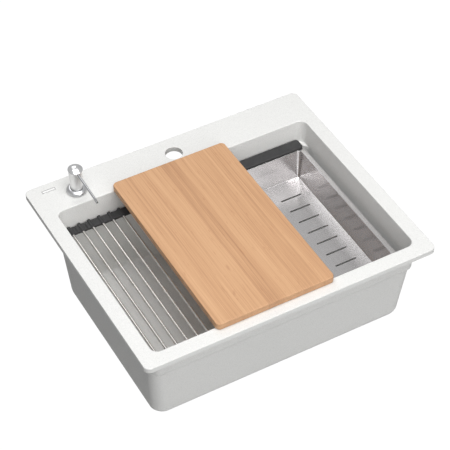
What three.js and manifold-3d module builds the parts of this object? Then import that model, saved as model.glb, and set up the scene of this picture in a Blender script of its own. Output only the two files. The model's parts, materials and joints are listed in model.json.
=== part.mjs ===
// Drop-in workstation kitchen sink: a moulded bowl with a tap deck and a ledge along its front and
// back, a board that slides on the rim, a slotted pan and a roll-up rack that slide on the ledges,
// a soap pump through the deck and a basket strainer in the floor.
// Millimetres, +X to the right, +Y to the back, +Z up. Sizes are measured from the middle of the
// width (x = 0), the rim's front edge (y = 0) and the rim's top face (z = 0). The finished group is
// then moved so that its origin lies under the front rim, where the sink rests on a worktop.

import * as THREE from 'three';
import { mergeVertices } from 'three/addons/utils/BufferGeometryUtils.js';
import Module from 'manifold-3d';

const wasm = await Module();
wasm.setup();

// ---------------------------------------------------------------- driving dimensions
const SEAT_GAP = 0.3;            // left between two pieces that touch

const RIM_WIDTH = 660;
const RIM_DEPTH = 557;
const RIM_THICKNESS = 12;
const RIM_CORNER = 14;
const RIM_EDGE = 2;              // rounding along the rim's top edge
const FRONT_RIM = 32.5;
const SIDE_RIM = 32.5;
const REAR_DECK = 89.5;
const OPENING_CORNER = 17;
const OPENING_EDGE = 2.5;        // rounding where the rim turns down into the bowl
const BAND_WALL = 7.5;           // the wall above the ledge
const SIDE_WALL = 6.5;           // the side walls below the band, at their top
const LEDGE_WALL = 12.5;         // the front and back walls there, thick behind the ledge
const FOOT_WALL = 6;             // and all four walls at the floor
const LEDGE_LEVEL = 57;          // below the rim's top
const LEDGE_WIDTH = 12;
const UPPER_DRAFT = 2;           // how far the walls lean in above the ledge
const LEDGE_EDGE = 1.5;
const BAND_HEIGHT = 66;          // the thick outer band ends this far below the rim's top
const BAND_STEP = 10;
const BOWL_DEPTH = 204;
const FRONT_LEAN = 7;            // how far the front and back walls lean in below the ledge
const SIDE_LEAN = 10;            // and the side walls
const BOWL_CORNER = 20;
const OUTER_CORNER = 25;
const FLOOR_FILLET = 14;
const FLOOR_FALL = 3.5;          // the floor drops this much to the drain
const FLOOR_THICKNESS = 10;
const CORNER_STEPS = 5;

const PLATE_LENGTH = 31;         // the blank name plate
const PLATE_DEPTH = 8.2;
const PLATE_THICKNESS = 0.6;
const PLATE_FROM_SIDE = 47.5;    // its middle, from the rim's left edge
const PLATE_FROM_BACK = 22.5;    // its middle, from the rim's back edge
const PLATE_CORNER = 1.2;

const TAP_HOLE = 38;
const TAP_FROM_BACK = 47.5;      // its middle, from the rim's back edge

const DRAIN_X = 0;
const DRAIN_CLEARANCE = 2;       // between the strainer's cup and the hole in the floor
const DRAIN_BOSS = 66;           // radius of the thick ring under the floor
const DRAIN_BOSS_DROP = 5;
const DRAIN_RECESS = 3;
const FLANGE_RADIUS = 56;
const FLANGE_THICKNESS = 1.5;
const FLANGE_EDGE = 0.8;
const FLANGE_CLEARANCE = 1.5;    // between the flange's edge and its recess in the floor
const SEAL_MARGIN = 1;
const STRAINER_SEAL = 1;
const CUP_RADIUS = 43;
const CUP_WALL = 1.2;
const CUP_DEPTH = 47;
const OUTLET_RADIUS = 24;
const OUTLET_BORE = 17;
const OUTLET_LENGTH = 20;
const CUP_SLOPE = 10;            // height of the slope between the cup's wall and its floor
const CUP_FLOOR_RADIUS = 32;
const CUP_LIP = 3;               // rounding where the flange turns down into the cup
const OUTLET_LIP = 2;
const GASKET_THICKNESS = 3;
const FIBRE_THICKNESS = 1.2;
const LOCKNUT_HEIGHT = 10;
const LOCKNUT_RADIUS = 55;
const LOCKNUT_LUGS = 8;
const LUG_WIDTH = 12;
const LUG_HEIGHT = 5;
const TAIL_RADIUS = 19;
const TAIL_WALL = 1;
const TAIL_LENGTH = 62;
const TAIL_FLANGE = 2;
const TAIL_FLANGE_MARGIN = 0.5;
const COUPLING_RADIUS = 28.5;
const COUPLING_SIDES = 8;
const COUPLING_LIP = 3;          // thickness of the lip under the tailpiece's flange
const COUPLING_GRIP = 11;        // how far it reaches up the outlet
const BASKET_RADIUS = 37;
const BASKET_FLOOR_RADIUS = 26;
const BASKET_WALL = 1.2;
const BASKET_HEIGHT = 34;
const BASKET_HOLES = 16;
const BASKET_HOLE = 5;
const BASKET_LIP = 2;            // the turned-out edge at its top
const BASKET_CLEARANCE = 1;      // between that edge and the cup
const BASKET_HOLE_RINGS = [12, 20]; // radii of the two rings of holes
const STOPPER_RADIUS = 23;
const STOPPER_THICKNESS = 3;
const POST_RADIUS = 3;
const POST_COLLAR = 3;           // the collar on the basket's floor stands out by this much
const KNOB_RADIUS = 8;
const KNOB_EDGE = 2;
const KNOB_BELOW_LIP = 2;        // the knob's top, below the basket's top
const KNOB_HEIGHT = 7;

const DISPENSER_FROM_SIDE = 99.5; // its axis, from the rim's left edge
const DISPENSER_FROM_BACK = 50;  // and from the rim's back edge
const DISPENSER_HOLE = 34;
const COLLAR_RADIUS = 22;
const COLLAR_HEIGHT = 8;
const COLLAR_BORE = 14;
const DECK_GASKET = 1;
const SHANK_RADIUS = 15.5;
const SHANK_BORE = 13.6;
const SHANK_LENGTH = 46;         // below the rim's top
const SHOULDER_LEVEL = 24;       // where the pump cylinder hangs in the shank
const SHOULDER_BORE = 9.5;
const COLLAR_FACE = 17.8;        // radius of the collar's flat top
const COLLAR_FLARE = 1.5;        // widening at the mouth of its bore
const DECK_NUT_HEIGHT = 9;
const DECK_NUT_RADIUS = 21;
const WING_REACH = 7;            // the nut's two wings stand out by this much
const WING_WIDTH = 5;
const WING_HEIGHT = 6;
const DECK_WASHER = 1.2;
const NECK_TOP_RADIUS = 14.7;
const NECK_FOOT_RADIUS = 12.7;
const NECK_FOOT = 5;
const NECK_TOP = 58.2;
const CAP_RADIUS = 15.8;
const CAP_DOME = 22;             // radius of the sphere that its top is cut from
const CAP_EDGE = 0.5;            // height of its upright edge
const CAP_TILT = 3.5;            // degrees, low at the front
const SPOUT_RADIUS = 2.6;
const SPOUT_BORE = 1.6;
const SPOUT_LEVEL = 54.6;
const SPOUT_REACH = 102;
const STEM_RADIUS = 3.5;
const STEM_BORE = 1.6;
const STEM_TOP = 50;
const CYLINDER_RADIUS = 8.4;
const CYLINDER_BORE = 6.6;
const CYLINDER_LENGTH = 62;      // from the shoulder down to the spring's seat
const CYLINDER_FLANGE = 3;
const TUBE_SOCKET = 15;          // how far the dip tube reaches into the cylinder
const PISTON_LENGTH = 8;
const PISTON_LEVEL = 50;         // top of the piston, below the rim's top
const SPRING_COILS = 4;
const SPRING_WIRE = 0.6;
const BALL_RADIUS = 2.6;
const BALL_CHAMBER = 8;
const INLET_BORE = 1.9;
const TUBE_RADIUS = 3;
const TUBE_BORE = 2;
const TUBE_LENGTH = 52;
const BOTTLE_RADIUS = 27.5;
const BOTTLE_WALL = 1.5;
const BOTTLE_HEIGHT = 128;       // from its shoulder to its foot
const BOTTLE_NECK = 14;

const BOARD_WIDTH = 266;
const BOARD_ON_FRONT = 11.1;     // how far the board lies over the front rim
const BOARD_ON_BACK = 7.1;       // and over the deck
const BOARD_THICKNESS = 16;
const BOARD_CORNER = 10;
const BOARD_EDGE = 2.5;
const BOARD_CENTRE_X = -32;

const PAN_SIDE_GAP = 13.1;       // between its right flange and the sink's wall
const PAN_BACK_GAP = 2;          // between its back handle and the sink's wall
const PAN_FRONT_GAP = 5;
const PAN_WIDTH = 197;
const PAN_FLANGE = 10.4;
const PAN_SHEET = 1.2;
const PAN_DEPTH = 77.5;
const PAN_CORNER = 9;
const PAN_DRAFT = 4;
const PAN_FILLET = 2;
const SLOT_LENGTH = 51;
const SLOT_WIDTH = 4;
const SLOT_PITCH = 37.2;
const SLOT_MARGIN = 50;          // least distance from the last row to the pan's end
const SLOT_COLUMN_GAP = 22;
const HANDLE_WIDTH = 27.4;
const HANDLE_THICKNESS = 9.4;
const HANDLE_CORNER = 7;
const HANDLE_EDGE = 2.2;
const HANDLE_SETBACK = 0.9;      // the handle is this much shorter than the pan at each end
const HANDLE_GRIP = 21;          // how far the flange reaches into the handle
const HANDLE_FOOT = 3.2;         // silicone under the flange

const ROD_COUNT = 10;
const ROD_PITCH = 23.2;
const ROD_RADIUS = 2.8;
const FIRST_ROD_FROM_WALL = 20.8; // first rod's axis, from the sink's left wall
const ROLLING_RODS = 2;          // rods at the left end that roll up
const SLEEVE_RADIUS = 4.3;
const SLEEVE_OVERHANG = 1.6;     // the sleeves stand this far out of the strip at each side
const STRIP_WIDTH = 21;
const STRIP_THICKNESS = 6;
const STRIP_RISE = 0.5;          // the strip's underside above the sleeves' lowest line
const STRIP_END = 9;             // strip beyond the last rod
const STRIP_WALL_GAP = 1.8;
const ROD_SOCKET = 17;           // how far a rod reaches into its sleeve

// ---------------------------------------------------------------- materials
function finish(color, roughness, metalness) {
  return new THREE.MeshStandardMaterial({ color, roughness, metalness });
}
const composite = finish(0xf3f3f1, 0.55, 0);
const steel = finish(0xb9b9ba, 0.34, 1);
const polished = finish(0xd2d3d4, 0.12, 1);
const wood = finish(0xe0b088, 0.6, 0);
const silicone = finish(0x3c3c3d, 0.75, 0);
const rubber = finish(0x2a2a2b, 0.85, 0);
const nylon = finish(0xe4e4e0, 0.5, 0);
const fibre = finish(0xb4a489, 0.9, 0);
const plateMetal = finish(0xa9a9a9, 0.4, 1);

// ---------------------------------------------------------------- solids
function toSolid(geometry) {
  geometry.deleteAttribute('normal');
  geometry.deleteAttribute('uv');
  const welded = mergeVertices(geometry, 1e-4);
  const vertProperties = new Float32Array(welded.attributes.position.array);
  const triVerts = new Uint32Array(welded.index.array);
  return new wasm.Manifold(new wasm.Mesh({ numProp: 3, vertProperties, triVerts }));
}

function toGeometry(solid) {
  const mesh = solid.getMesh();
  const geometry = new THREE.BufferGeometry();
  geometry.setAttribute('position', new THREE.BufferAttribute(mesh.vertProperties, 3));
  geometry.setIndex(new THREE.BufferAttribute(mesh.triVerts, 1));
  geometry.computeVertexNormals();
  return geometry;
}

function join(...solids) {
  return solids.reduce((whole, piece) => whole.add(piece));
}

// A rounded rectangle in plan, and the same one drawn in by an even margin.
function plan(x0, x1, y0, y1, corner) {
  return { x0, x1, y0, y1, corner };
}

function inset(p, margin) {
  const corner = Math.max(p.corner - margin, 0.5);
  return plan(p.x0 + margin, p.x1 - margin, p.y0 + margin, p.y1 - margin, corner);
}

function outline(p, steps) {
  const centres = [
    [p.x1 - p.corner, p.y1 - p.corner],
    [p.x0 + p.corner, p.y1 - p.corner],
    [p.x0 + p.corner, p.y0 + p.corner],
    [p.x1 - p.corner, p.y0 + p.corner],
  ];
  const points = [];
  centres.forEach(([cx, cy], quarter) => {
    for (let i = 0; i <= steps; i++) {
      const angle = (quarter + i / steps) * Math.PI / 2;
      points.push([cx + p.corner * Math.cos(angle), cy + p.corner * Math.sin(angle)]);
    }
  });
  return points;
}

// A closed solid through plans stacked from the lowest to the highest level.
function loft(levels, steps = CORNER_STEPS) {
  const rings = levels.map(([z, p]) => outline(p, steps).map(([x, y]) => [x, y, z]));
  const count = rings[0].length;
  const positions = rings.flat(2);
  const index = [];
  for (let level = 0; level + 1 < rings.length; level++) {
    for (let i = 0; i < count; i++) {
      const a = level * count + i;
      const b = level * count + (i + 1) % count;
      index.push(a, b, b + count, a, b + count, a + count);
    }
  }
  for (const [level, bottom] of [[0, true], [rings.length - 1, false]]) {
    const ring = rings[level];
    const middle = positions.length / 3;
    const sum = ring.reduce((s, [x, y]) => [s[0] + x, s[1] + y], [0, 0]);
    positions.push(sum[0] / count, sum[1] / count, ring[0][2]);
    for (let i = 0; i < count; i++) {
      const a = level * count + i;
      const b = level * count + (i + 1) % count;
      index.push(...(bottom ? [middle, b, a] : [middle, a, b]));
    }
  }
  const geometry = new THREE.BufferGeometry();
  geometry.setAttribute('position', new THREE.BufferAttribute(new Float32Array(positions), 3));
  geometry.setIndex(index);
  return toSolid(geometry);
}

// A slab with rounded corners in plan and rounded top and bottom edges.
function slab(p, low, high, edge, steps = CORNER_STEPS) {
  const soft = edge * (1 - Math.SQRT1_2);
  return loft([
    [low, inset(p, edge)],
    [low + soft, inset(p, soft)],
    [low + edge, p],
    [high - edge, p],
    [high - soft, inset(p, soft)],
    [high, inset(p, edge)],
  ], steps);
}

// A turned solid about the Z axis from a closed profile of [radius, z] points.
function turned(profile, sides = 20) {
  const points = profile.map(([radius, z]) => new THREE.Vector2(radius, z));
  const anticlockwise = THREE.ShapeUtils.isClockWise(points) ? points.reverse() : points;
  anticlockwise.push(anticlockwise[0].clone());
  const geometry = new THREE.LatheGeometry(anticlockwise, sides);
  geometry.rotateX(Math.PI / 2);
  return toSolid(geometry);
}

function ring(inner, outer, low, high, sides = 20) {
  return turned([[inner, low], [outer, low], [outer, high], [inner, high]], sides);
}

function disc(radius, low, high, sides = 20) {
  return turned([[0, low], [radius, low], [radius, high], [0, high]], sides);
}

function block(x0, x1, y0, y1, z0, z1) {
  const geometry = new THREE.BoxGeometry(x1 - x0, y1 - y0, z1 - z0);
  geometry.translate((x0 + x1) / 2, (y0 + y1) / 2, (z0 + z1) / 2);
  return toSolid(geometry);
}

// A round bar along Y with a small chamfer at both ends.
function barAlongY(x, y0, y1, z, radius, sides, chamfer) {
  const profile = [
    [0, y0], [radius - chamfer, y0], [radius, y0 + chamfer],
    [radius, y1 - chamfer], [radius - chamfer, y1], [0, y1],
  ];
  const points = profile.map(([r, along]) => new THREE.Vector2(r, along));
  const geometry = new THREE.LatheGeometry(points, sides);
  geometry.translate(x, 0, z);
  return toSolid(geometry);
}

function circle(radius, sides) {
  const shape = new THREE.Shape();
  for (let i = 0; i < sides; i++) {
    const angle = i / sides * 2 * Math.PI;
    const [x, y] = [radius * Math.cos(angle), radius * Math.sin(angle)];
    if (i === 0) shape.moveTo(x, y);
    else shape.lineTo(x, y);
  }
  shape.closePath();
  return shape;
}

function tubeAlong(curve, radius, bore, sides, steps) {
  const section = circle(radius, sides);
  if (bore > 0) section.holes.push(circle(bore, sides));
  const options = { extrudePath: curve, steps, bevelEnabled: false };
  return toSolid(new THREE.ExtrudeGeometry(section, options));
}

const assembly = new THREE.Group();

function add(group, name, solid, material) {
  const mesh = new THREE.Mesh(toGeometry(solid), material);
  mesh.name = name;
  group.add(mesh);
  return mesh;
}

// ---------------------------------------------------------------- the moulded sink
const openX = RIM_WIDTH / 2 - SIDE_RIM;
const openFront = FRONT_RIM;
const openBack = RIM_DEPTH - REAR_DECK;
const opening = plan(-openX, openX, openFront, openBack, OPENING_CORNER);
const ledgeFront = openFront + UPPER_DRAFT;
const ledgeBack = openBack - UPPER_DRAFT;
const ledgeZ = -LEDGE_LEVEL;
const sideX = openX - UPPER_DRAFT;
const lower = plan(-sideX, sideX, ledgeFront + LEDGE_WIDTH, ledgeBack - LEDGE_WIDTH, BOWL_CORNER);
const lowerFoot = drawnIn(lower, SIDE_LEAN, FRONT_LEAN);
const bowlCentreY = (openFront + openBack) / 2;
const drainY = bowlCentreY;
const drainRadius = CUP_RADIUS + DRAIN_CLEARANCE;
const floorAtDrain = -BOWL_DEPTH - FLOOR_FALL;
const underside = -BOWL_DEPTH - FLOOR_THICKNESS;
const bossZ = underside - DRAIN_BOSS_DROP;
const tapY = RIM_DEPTH - TAP_FROM_BACK;
const dispenserX = -RIM_WIDTH / 2 + DISPENSER_FROM_SIDE;
const dispenserY = RIM_DEPTH - DISPENSER_FROM_BACK;

// A plan drawn in by one margin at its sides and by another at its front and back.
function drawnIn(p, sides, ends) {
  return plan(p.x0 + sides, p.x1 - sides, p.y0 + ends, p.y1 - ends, p.corner);
}

// The rounding between a floor and the walls that stand on the plan p.
function roundedFoot(p, z, radius) {
  const levels = [];
  for (let i = 0; i <= 3; i++) {
    const angle = i / 3 * Math.PI / 2;
    const margin = radius * (1 - Math.sin(angle));
    levels.push([z + radius * (1 - Math.cos(angle)), inset(p, margin)]);
  }
  return levels;
}

function sinkBody() {
  const rim = plan(-RIM_WIDTH / 2, RIM_WIDTH / 2, 0, RIM_DEPTH, RIM_CORNER);
  const rimSoft = RIM_EDGE * (1 - Math.SQRT1_2);
  const band = inset(opening, -BAND_WALL);
  const outerTop = { ...drawnIn(lower, -SIDE_WALL, -LEDGE_WALL), corner: OUTER_CORNER };
  const outerFoot = inset(lowerFoot, -FOOT_WALL);
  const bandDraft = UPPER_DRAFT * BAND_HEIGHT / LEDGE_LEVEL;
  const outer = loft([
    ...roundedFoot(outerFoot, underside, FLOOR_FILLET),
    [-BAND_HEIGHT - BAND_STEP, outerTop],
    [-BAND_HEIGHT, inset(band, bandDraft)],
    [-RIM_THICKNESS, band],
    [-RIM_THICKNESS, inset(rim, 1)],
    [-RIM_THICKNESS + 1, rim],
    [-RIM_EDGE, rim],
    [-rimSoft, inset(rim, rimSoft)],
    [0, inset(rim, RIM_EDGE)],
  ]);
  const edgeSoft = OPENING_EDGE * (1 - Math.SQRT1_2);
  const upperSpace = loft([
    [ledgeZ, drawnIn(inset(opening, UPPER_DRAFT), 0, 1)],
    [ledgeZ + 1, inset(opening, UPPER_DRAFT)],
    [-OPENING_EDGE, opening],
    [-edgeSoft, inset(opening, -edgeSoft)],
    [0, inset(opening, -OPENING_EDGE)],
    [1, inset(opening, -OPENING_EDGE)],
  ]);
  const drainRing = plan(DRAIN_X - FLANGE_RADIUS, DRAIN_X + FLANGE_RADIUS,
    drainY - FLANGE_RADIUS, drainY + FLANGE_RADIUS, FLANGE_RADIUS);
  const lowerSpace = loft([
    [floorAtDrain, drainRing],
    ...roundedFoot(lowerFoot, -BOWL_DEPTH, FLOOR_FILLET),
    [ledgeZ - LEDGE_EDGE, lower],
    [ledgeZ, drawnIn(lower, 0, -LEDGE_EDGE)],
    [ledgeZ + 1, drawnIn(lower, 0, -LEDGE_EDGE)],
  ]);
  const boss = disc(DRAIN_BOSS, bossZ, underside + 1, 32).translate([DRAIN_X, drainY, 0]);
  const recessRadius = FLANGE_RADIUS + FLANGE_CLEARANCE;
  const recess = disc(recessRadius, floorAtDrain - DRAIN_RECESS, floorAtDrain + 1, 32);
  const drainHole = disc(drainRadius, bossZ - 1, floorAtDrain, 32);
  const tapHole = disc(TAP_HOLE / 2, -RIM_THICKNESS - 1, 1, 24);
  const pumpHole = disc(DISPENSER_HOLE / 2, -RIM_THICKNESS - 1, 1, 24);
  return outer
    .add(boss)
    .subtract(upperSpace)
    .subtract(lowerSpace)
    .subtract(recess.translate([DRAIN_X, drainY, 0]))
    .subtract(drainHole.translate([DRAIN_X, drainY, 0]))
    .subtract(tapHole.translate([0, tapY, 0]))
    .subtract(pumpHole.translate([dispenserX, dispenserY, 0]));
}

function namePlate() {
  const halfLength = PLATE_LENGTH / 2;
  const halfDepth = PLATE_DEPTH / 2;
  const edges = plan(-halfLength, halfLength, -halfDepth, halfDepth, PLATE_CORNER);
  const plate = loft([[SEAT_GAP, edges], [SEAT_GAP + PLATE_THICKNESS, edges]], 2);
  return plate.translate([-RIM_WIDTH / 2 + PLATE_FROM_SIDE, RIM_DEPTH - PLATE_FROM_BACK, 0]);
}

const sink = new THREE.Group();
add(sink, 'sink_bowl', sinkBody(), composite);
add(sink, 'blank_plate', namePlate(), plateMetal);
assembly.add(sink);

// ---------------------------------------------------------------- the basket strainer
// Levels here are measured from the rim's top; the group stands on the drain's axis.
const drain = new THREE.Group();
drain.position.set(DRAIN_X, drainY, 0);
const sealZ = floorAtDrain - DRAIN_RECESS + SEAT_GAP;
const flangeZ = sealZ + STRAINER_SEAL + SEAT_GAP;
const flangeTop = flangeZ + FLANGE_THICKNESS;
const cupFloor = flangeTop - CUP_DEPTH;
const outletEnd = cupFloor - OUTLET_LENGTH;
const cupBore = CUP_RADIUS - CUP_WALL;
const gasketTop = bossZ - SEAT_GAP;
const fibreTop = gasketTop - GASKET_THICKNESS - SEAT_GAP;
const locknutTop = fibreTop - FIBRE_THICKNESS - SEAT_GAP;
const nutBore = CUP_RADIUS + SEAT_GAP;

function strainerCup() {
  return turned([
    [FLANGE_RADIUS, flangeTop - FLANGE_EDGE], [FLANGE_RADIUS - FLANGE_EDGE, flangeTop],
    [cupBore + CUP_LIP, flangeTop], [cupBore, flangeTop - CUP_LIP],
    [cupBore, cupFloor + CUP_SLOPE], [CUP_FLOOR_RADIUS, cupFloor + CUP_WALL],
    [OUTLET_BORE + OUTLET_LIP, cupFloor + CUP_WALL], [OUTLET_BORE, cupFloor - OUTLET_LIP],
    [OUTLET_BORE, outletEnd], [OUTLET_RADIUS, outletEnd],
    [OUTLET_RADIUS, cupFloor], [CUP_FLOOR_RADIUS + CUP_WALL, cupFloor],
    [CUP_RADIUS, cupFloor + CUP_SLOPE - CUP_WALL], [CUP_RADIUS, flangeZ], [FLANGE_RADIUS, flangeZ],
  ], 24);
}

function lockNut() {
  const body = LOCKNUT_RADIUS - LUG_HEIGHT;
  const low = locknutTop - LOCKNUT_HEIGHT;
  let nut = ring(nutBore, body, low, locknutTop, 24);
  const lug = block(body - 1, LOCKNUT_RADIUS, -LUG_WIDTH / 2, LUG_WIDTH / 2, low, locknutTop);
  for (let i = 0; i < LOCKNUT_LUGS; i++) {
    nut = nut.add(lug.rotate([0, 0, i * 360 / LOCKNUT_LUGS]));
  }
  return nut;
}

const slipTop = outletEnd - SEAT_GAP;
const tailTop = slipTop - TAIL_FLANGE - SEAT_GAP;
const tailFoot = tailTop - TAIL_LENGTH;
const tailLip = tailTop - TAIL_FLANGE - SEAT_GAP;
const tailFlangeRadius = OUTLET_RADIUS - TAIL_FLANGE_MARGIN;

function tailPiece() {
  const bore = TAIL_RADIUS - TAIL_WALL;
  return turned([
    [bore, tailFoot], [TAIL_RADIUS, tailFoot], [TAIL_RADIUS, tailTop - TAIL_FLANGE],
    [tailFlangeRadius, tailTop - TAIL_FLANGE], [tailFlangeRadius, tailTop], [bore, tailTop],
  ]);
}

function couplingNut() {
  const low = tailLip - COUPLING_LIP;
  const inside = turned([
    [0, low - 1], [TAIL_RADIUS + SEAT_GAP, low - 1], [TAIL_RADIUS + SEAT_GAP, tailLip],
    [OUTLET_RADIUS + SEAT_GAP, tailLip], [OUTLET_RADIUS + SEAT_GAP, cupFloor], [0, cupFloor],
  ]);
  const outside = disc(COUPLING_RADIUS, low, outletEnd + COUPLING_GRIP, COUPLING_SIDES);
  return outside.subtract(inside);
}

// The basket hangs in the cup with its stopper on the outlet's mouth.
const stopperZ = cupFloor + CUP_WALL + SEAT_GAP;
const basketZ = stopperZ + STOPPER_THICKNESS + SEAT_GAP;
const basketTop = basketZ + BASKET_HEIGHT;

function basketCup() {
  const wall = BASKET_WALL;
  const lip = cupBore - BASKET_CLEARANCE;
  let basket = turned([
    [POST_RADIUS + SEAT_GAP, basketZ], [BASKET_FLOOR_RADIUS, basketZ],
    [BASKET_RADIUS, basketTop - 2 * BASKET_LIP], [lip, basketTop - BASKET_LIP / 2], [lip, basketTop],
    [BASKET_RADIUS, basketTop - BASKET_LIP], [BASKET_FLOOR_RADIUS - wall, basketZ + wall],
    [POST_RADIUS + SEAT_GAP, basketZ + wall],
  ], 24);
  const hole = disc(BASKET_HOLE / 2, basketZ - 1, basketZ + 4, 6);
  for (let i = 0; i < BASKET_HOLES; i++) {
    const angle = i / BASKET_HOLES * 2 * Math.PI;
    const radius = BASKET_HOLE_RINGS[i % 2];
    basket = basket.subtract(hole.translate([radius * Math.cos(angle), radius * Math.sin(angle), 0]));
  }
  return basket;
}

function basketPost() {
  const top = basketTop - KNOB_BELOW_LIP;
  const wide = POST_RADIUS + POST_COLLAR;
  const above = basketZ + BASKET_WALL + SEAT_GAP;
  const foot = stopperZ + SEAT_GAP;
  return turned([
    [0, foot], [POST_RADIUS, foot], [POST_RADIUS, above], [wide, above],
    [POST_RADIUS, above + POST_COLLAR], [POST_RADIUS, top - KNOB_HEIGHT],
    [KNOB_RADIUS, top - KNOB_HEIGHT + KNOB_EDGE], [KNOB_RADIUS, top - KNOB_EDGE],
    [KNOB_RADIUS - KNOB_EDGE, top], [0, top],
  ], 20);
}

add(drain, 'strainer_seal',
  ring(drainRadius + SEAL_MARGIN, FLANGE_RADIUS - SEAL_MARGIN, sealZ, sealZ + STRAINER_SEAL, 24),
  rubber);
add(drain, 'strainer_cup', strainerCup(), steel);
add(drain, 'strainer_gasket',
  ring(nutBore, FLANGE_RADIUS, gasketTop - GASKET_THICKNESS, gasketTop, 24), rubber);
add(drain, 'strainer_fibre_washer',
  ring(nutBore, FLANGE_RADIUS - 2, fibreTop - FIBRE_THICKNESS, fibreTop, 24), fibre);
add(drain, 'strainer_locknut', lockNut(), steel);
add(drain, 'slip_washer', ring(TAIL_RADIUS, tailFlangeRadius, slipTop - TAIL_FLANGE, slipTop), nylon);
add(drain, 'tailpiece', tailPiece(), polished);
add(drain, 'coupling_nut', couplingNut(), polished);
add(drain, 'basket_stopper',
  ring(POST_RADIUS + SEAT_GAP, STOPPER_RADIUS, stopperZ, stopperZ + STOPPER_THICKNESS), rubber);
add(drain, 'basket', basketCup(), steel);
add(drain, 'basket_post', basketPost(), polished);
assembly.add(drain);

// ---------------------------------------------------------------- the soap dispenser
const dispenser = new THREE.Group();
dispenser.position.set(dispenserX, dispenserY, 0);
const collarFoot = SEAT_GAP + DECK_GASKET + SEAT_GAP;
const collarTop = collarFoot + COLLAR_HEIGHT;
const shankFoot = -SHANK_LENGTH;
const hangZ = -SHOULDER_LEVEL;
const washerTop = -RIM_THICKNESS - SEAT_GAP;
const deckNutTop = washerTop - DECK_WASHER - SEAT_GAP;

function collarAndShank() {
  const bulge = COLLAR_RADIUS;
  return turned([
    [SHANK_RADIUS, shankFoot], [SHANK_RADIUS, collarFoot], [bulge - 0.8, collarFoot],
    [bulge, collarFoot + 1.5], [bulge - 0.4, collarFoot + 4], [bulge - 2, collarTop - 1.2],
    [COLLAR_FACE, collarTop], [COLLAR_BORE + COLLAR_FLARE, collarTop],
    [COLLAR_BORE, collarTop - COLLAR_FLARE], [COLLAR_BORE, collarFoot],
    [SHANK_BORE, collarFoot - 1], [SHANK_BORE, hangZ],
    [SHOULDER_BORE, hangZ], [SHOULDER_BORE, shankFoot],
  ], 24);
}

function deckNut() {
  const low = deckNutTop - DECK_NUT_HEIGHT;
  const wing = block(DECK_NUT_RADIUS - 1, DECK_NUT_RADIUS + WING_REACH,
    -WING_WIDTH / 2, WING_WIDTH / 2, low, low + WING_HEIGHT);
  const body = ring(SHANK_RADIUS + SEAT_GAP, DECK_NUT_RADIUS, low, deckNutTop);
  return join(body, wing, wing.rotate([0, 0, 180]));
}

const cylinderTop = hangZ + SEAT_GAP + CYLINDER_FLANGE;
const springSeat = hangZ - CYLINDER_LENGTH;
const chamberFoot = springSeat - BALL_CHAMBER;
const tubeTop = chamberFoot - 4;
const cylinderFoot = tubeTop - TUBE_SOCKET;

function pumpCylinder() {
  const chamber = BALL_RADIUS + 0.8;
  const socket = TUBE_RADIUS + SEAT_GAP;
  return turned([
    [CYLINDER_BORE, springSeat], [CYLINDER_BORE, cylinderTop], [SHANK_BORE - 0.4, cylinderTop],
    [SHANK_BORE - 0.4, hangZ + SEAT_GAP], [CYLINDER_RADIUS, hangZ + SEAT_GAP],
    [CYLINDER_RADIUS, springSeat - 2], [socket + 1.5, chamberFoot - 1], [socket + 1.5, cylinderFoot],
    [socket, cylinderFoot], [socket, tubeTop], [INLET_BORE, tubeTop], [INLET_BORE, chamberFoot],
    [chamber, chamberFoot + 1.5], [chamber, springSeat],
  ], 24);
}

function headNeck() {
  const socket = STEM_RADIUS + SEAT_GAP;
  const neck = turned([
    [NECK_FOOT_RADIUS - 2, NECK_FOOT], [NECK_FOOT_RADIUS, NECK_FOOT + 0.6],
    [NECK_TOP_RADIUS, NECK_TOP - 0.6], [NECK_TOP_RADIUS - 0.6, NECK_TOP], [0, NECK_TOP],
    [0, NECK_TOP - 1.4], [socket, NECK_TOP - 1.4], [socket, 40], [NECK_FOOT_RADIUS - 2, 36],
  ], 24);
  const channel = barAlongY(0, -NECK_TOP_RADIUS - 1, 0, SPOUT_LEVEL, SPOUT_RADIUS + SEAT_GAP, 8, 0);
  return neck.subtract(channel);
}

// A slice of a sphere on a thin upright edge.
function headCap() {
  const profile = [[0, 0], [CAP_RADIUS, 0]];
  const span = Math.asin(CAP_RADIUS / CAP_DOME);
  const domeFoot = CAP_DOME * Math.cos(span);
  const domeSteps = 6;
  for (let i = domeSteps; i >= 0; i--) {
    const angle = i / domeSteps * span;
    profile.push([CAP_DOME * Math.sin(angle), CAP_EDGE + CAP_DOME * Math.cos(angle) - domeFoot]);
  }
  return turned(profile, 24);
}

function headSpout() {
  const points = [
    [-STEM_RADIUS - 2, SPOUT_LEVEL], [-NECK_TOP_RADIUS - 4, SPOUT_LEVEL],
    [-SPOUT_REACH * 0.5, SPOUT_LEVEL - 0.6], [-SPOUT_REACH * 0.84, SPOUT_LEVEL - 2],
    [-SPOUT_REACH * 0.95, SPOUT_LEVEL - 3.4], [-SPOUT_REACH, SPOUT_LEVEL - 5.6],
  ];
  const curve = new THREE.CatmullRomCurve3(points.map(([y, z]) => new THREE.Vector3(0, y, z)));
  return tubeAlong(curve, SPOUT_RADIUS, SPOUT_BORE, 8, 12);
}

const pistonTop = -PISTON_LEVEL;
const pistonFoot = pistonTop - PISTON_LENGTH;

function pumpPiston() {
  const radius = CYLINDER_BORE - SEAT_GAP;
  return turned([
    [STEM_RADIUS + SEAT_GAP, pistonFoot + 2], [STEM_RADIUS, pistonFoot], [radius, pistonFoot],
    [radius, pistonFoot + 2], [radius - 1, pistonFoot + 3], [radius - 1, pistonTop - 3],
    [radius, pistonTop - 2], [radius, pistonTop], [STEM_RADIUS + SEAT_GAP, pistonTop],
  ], 24);
}

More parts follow.
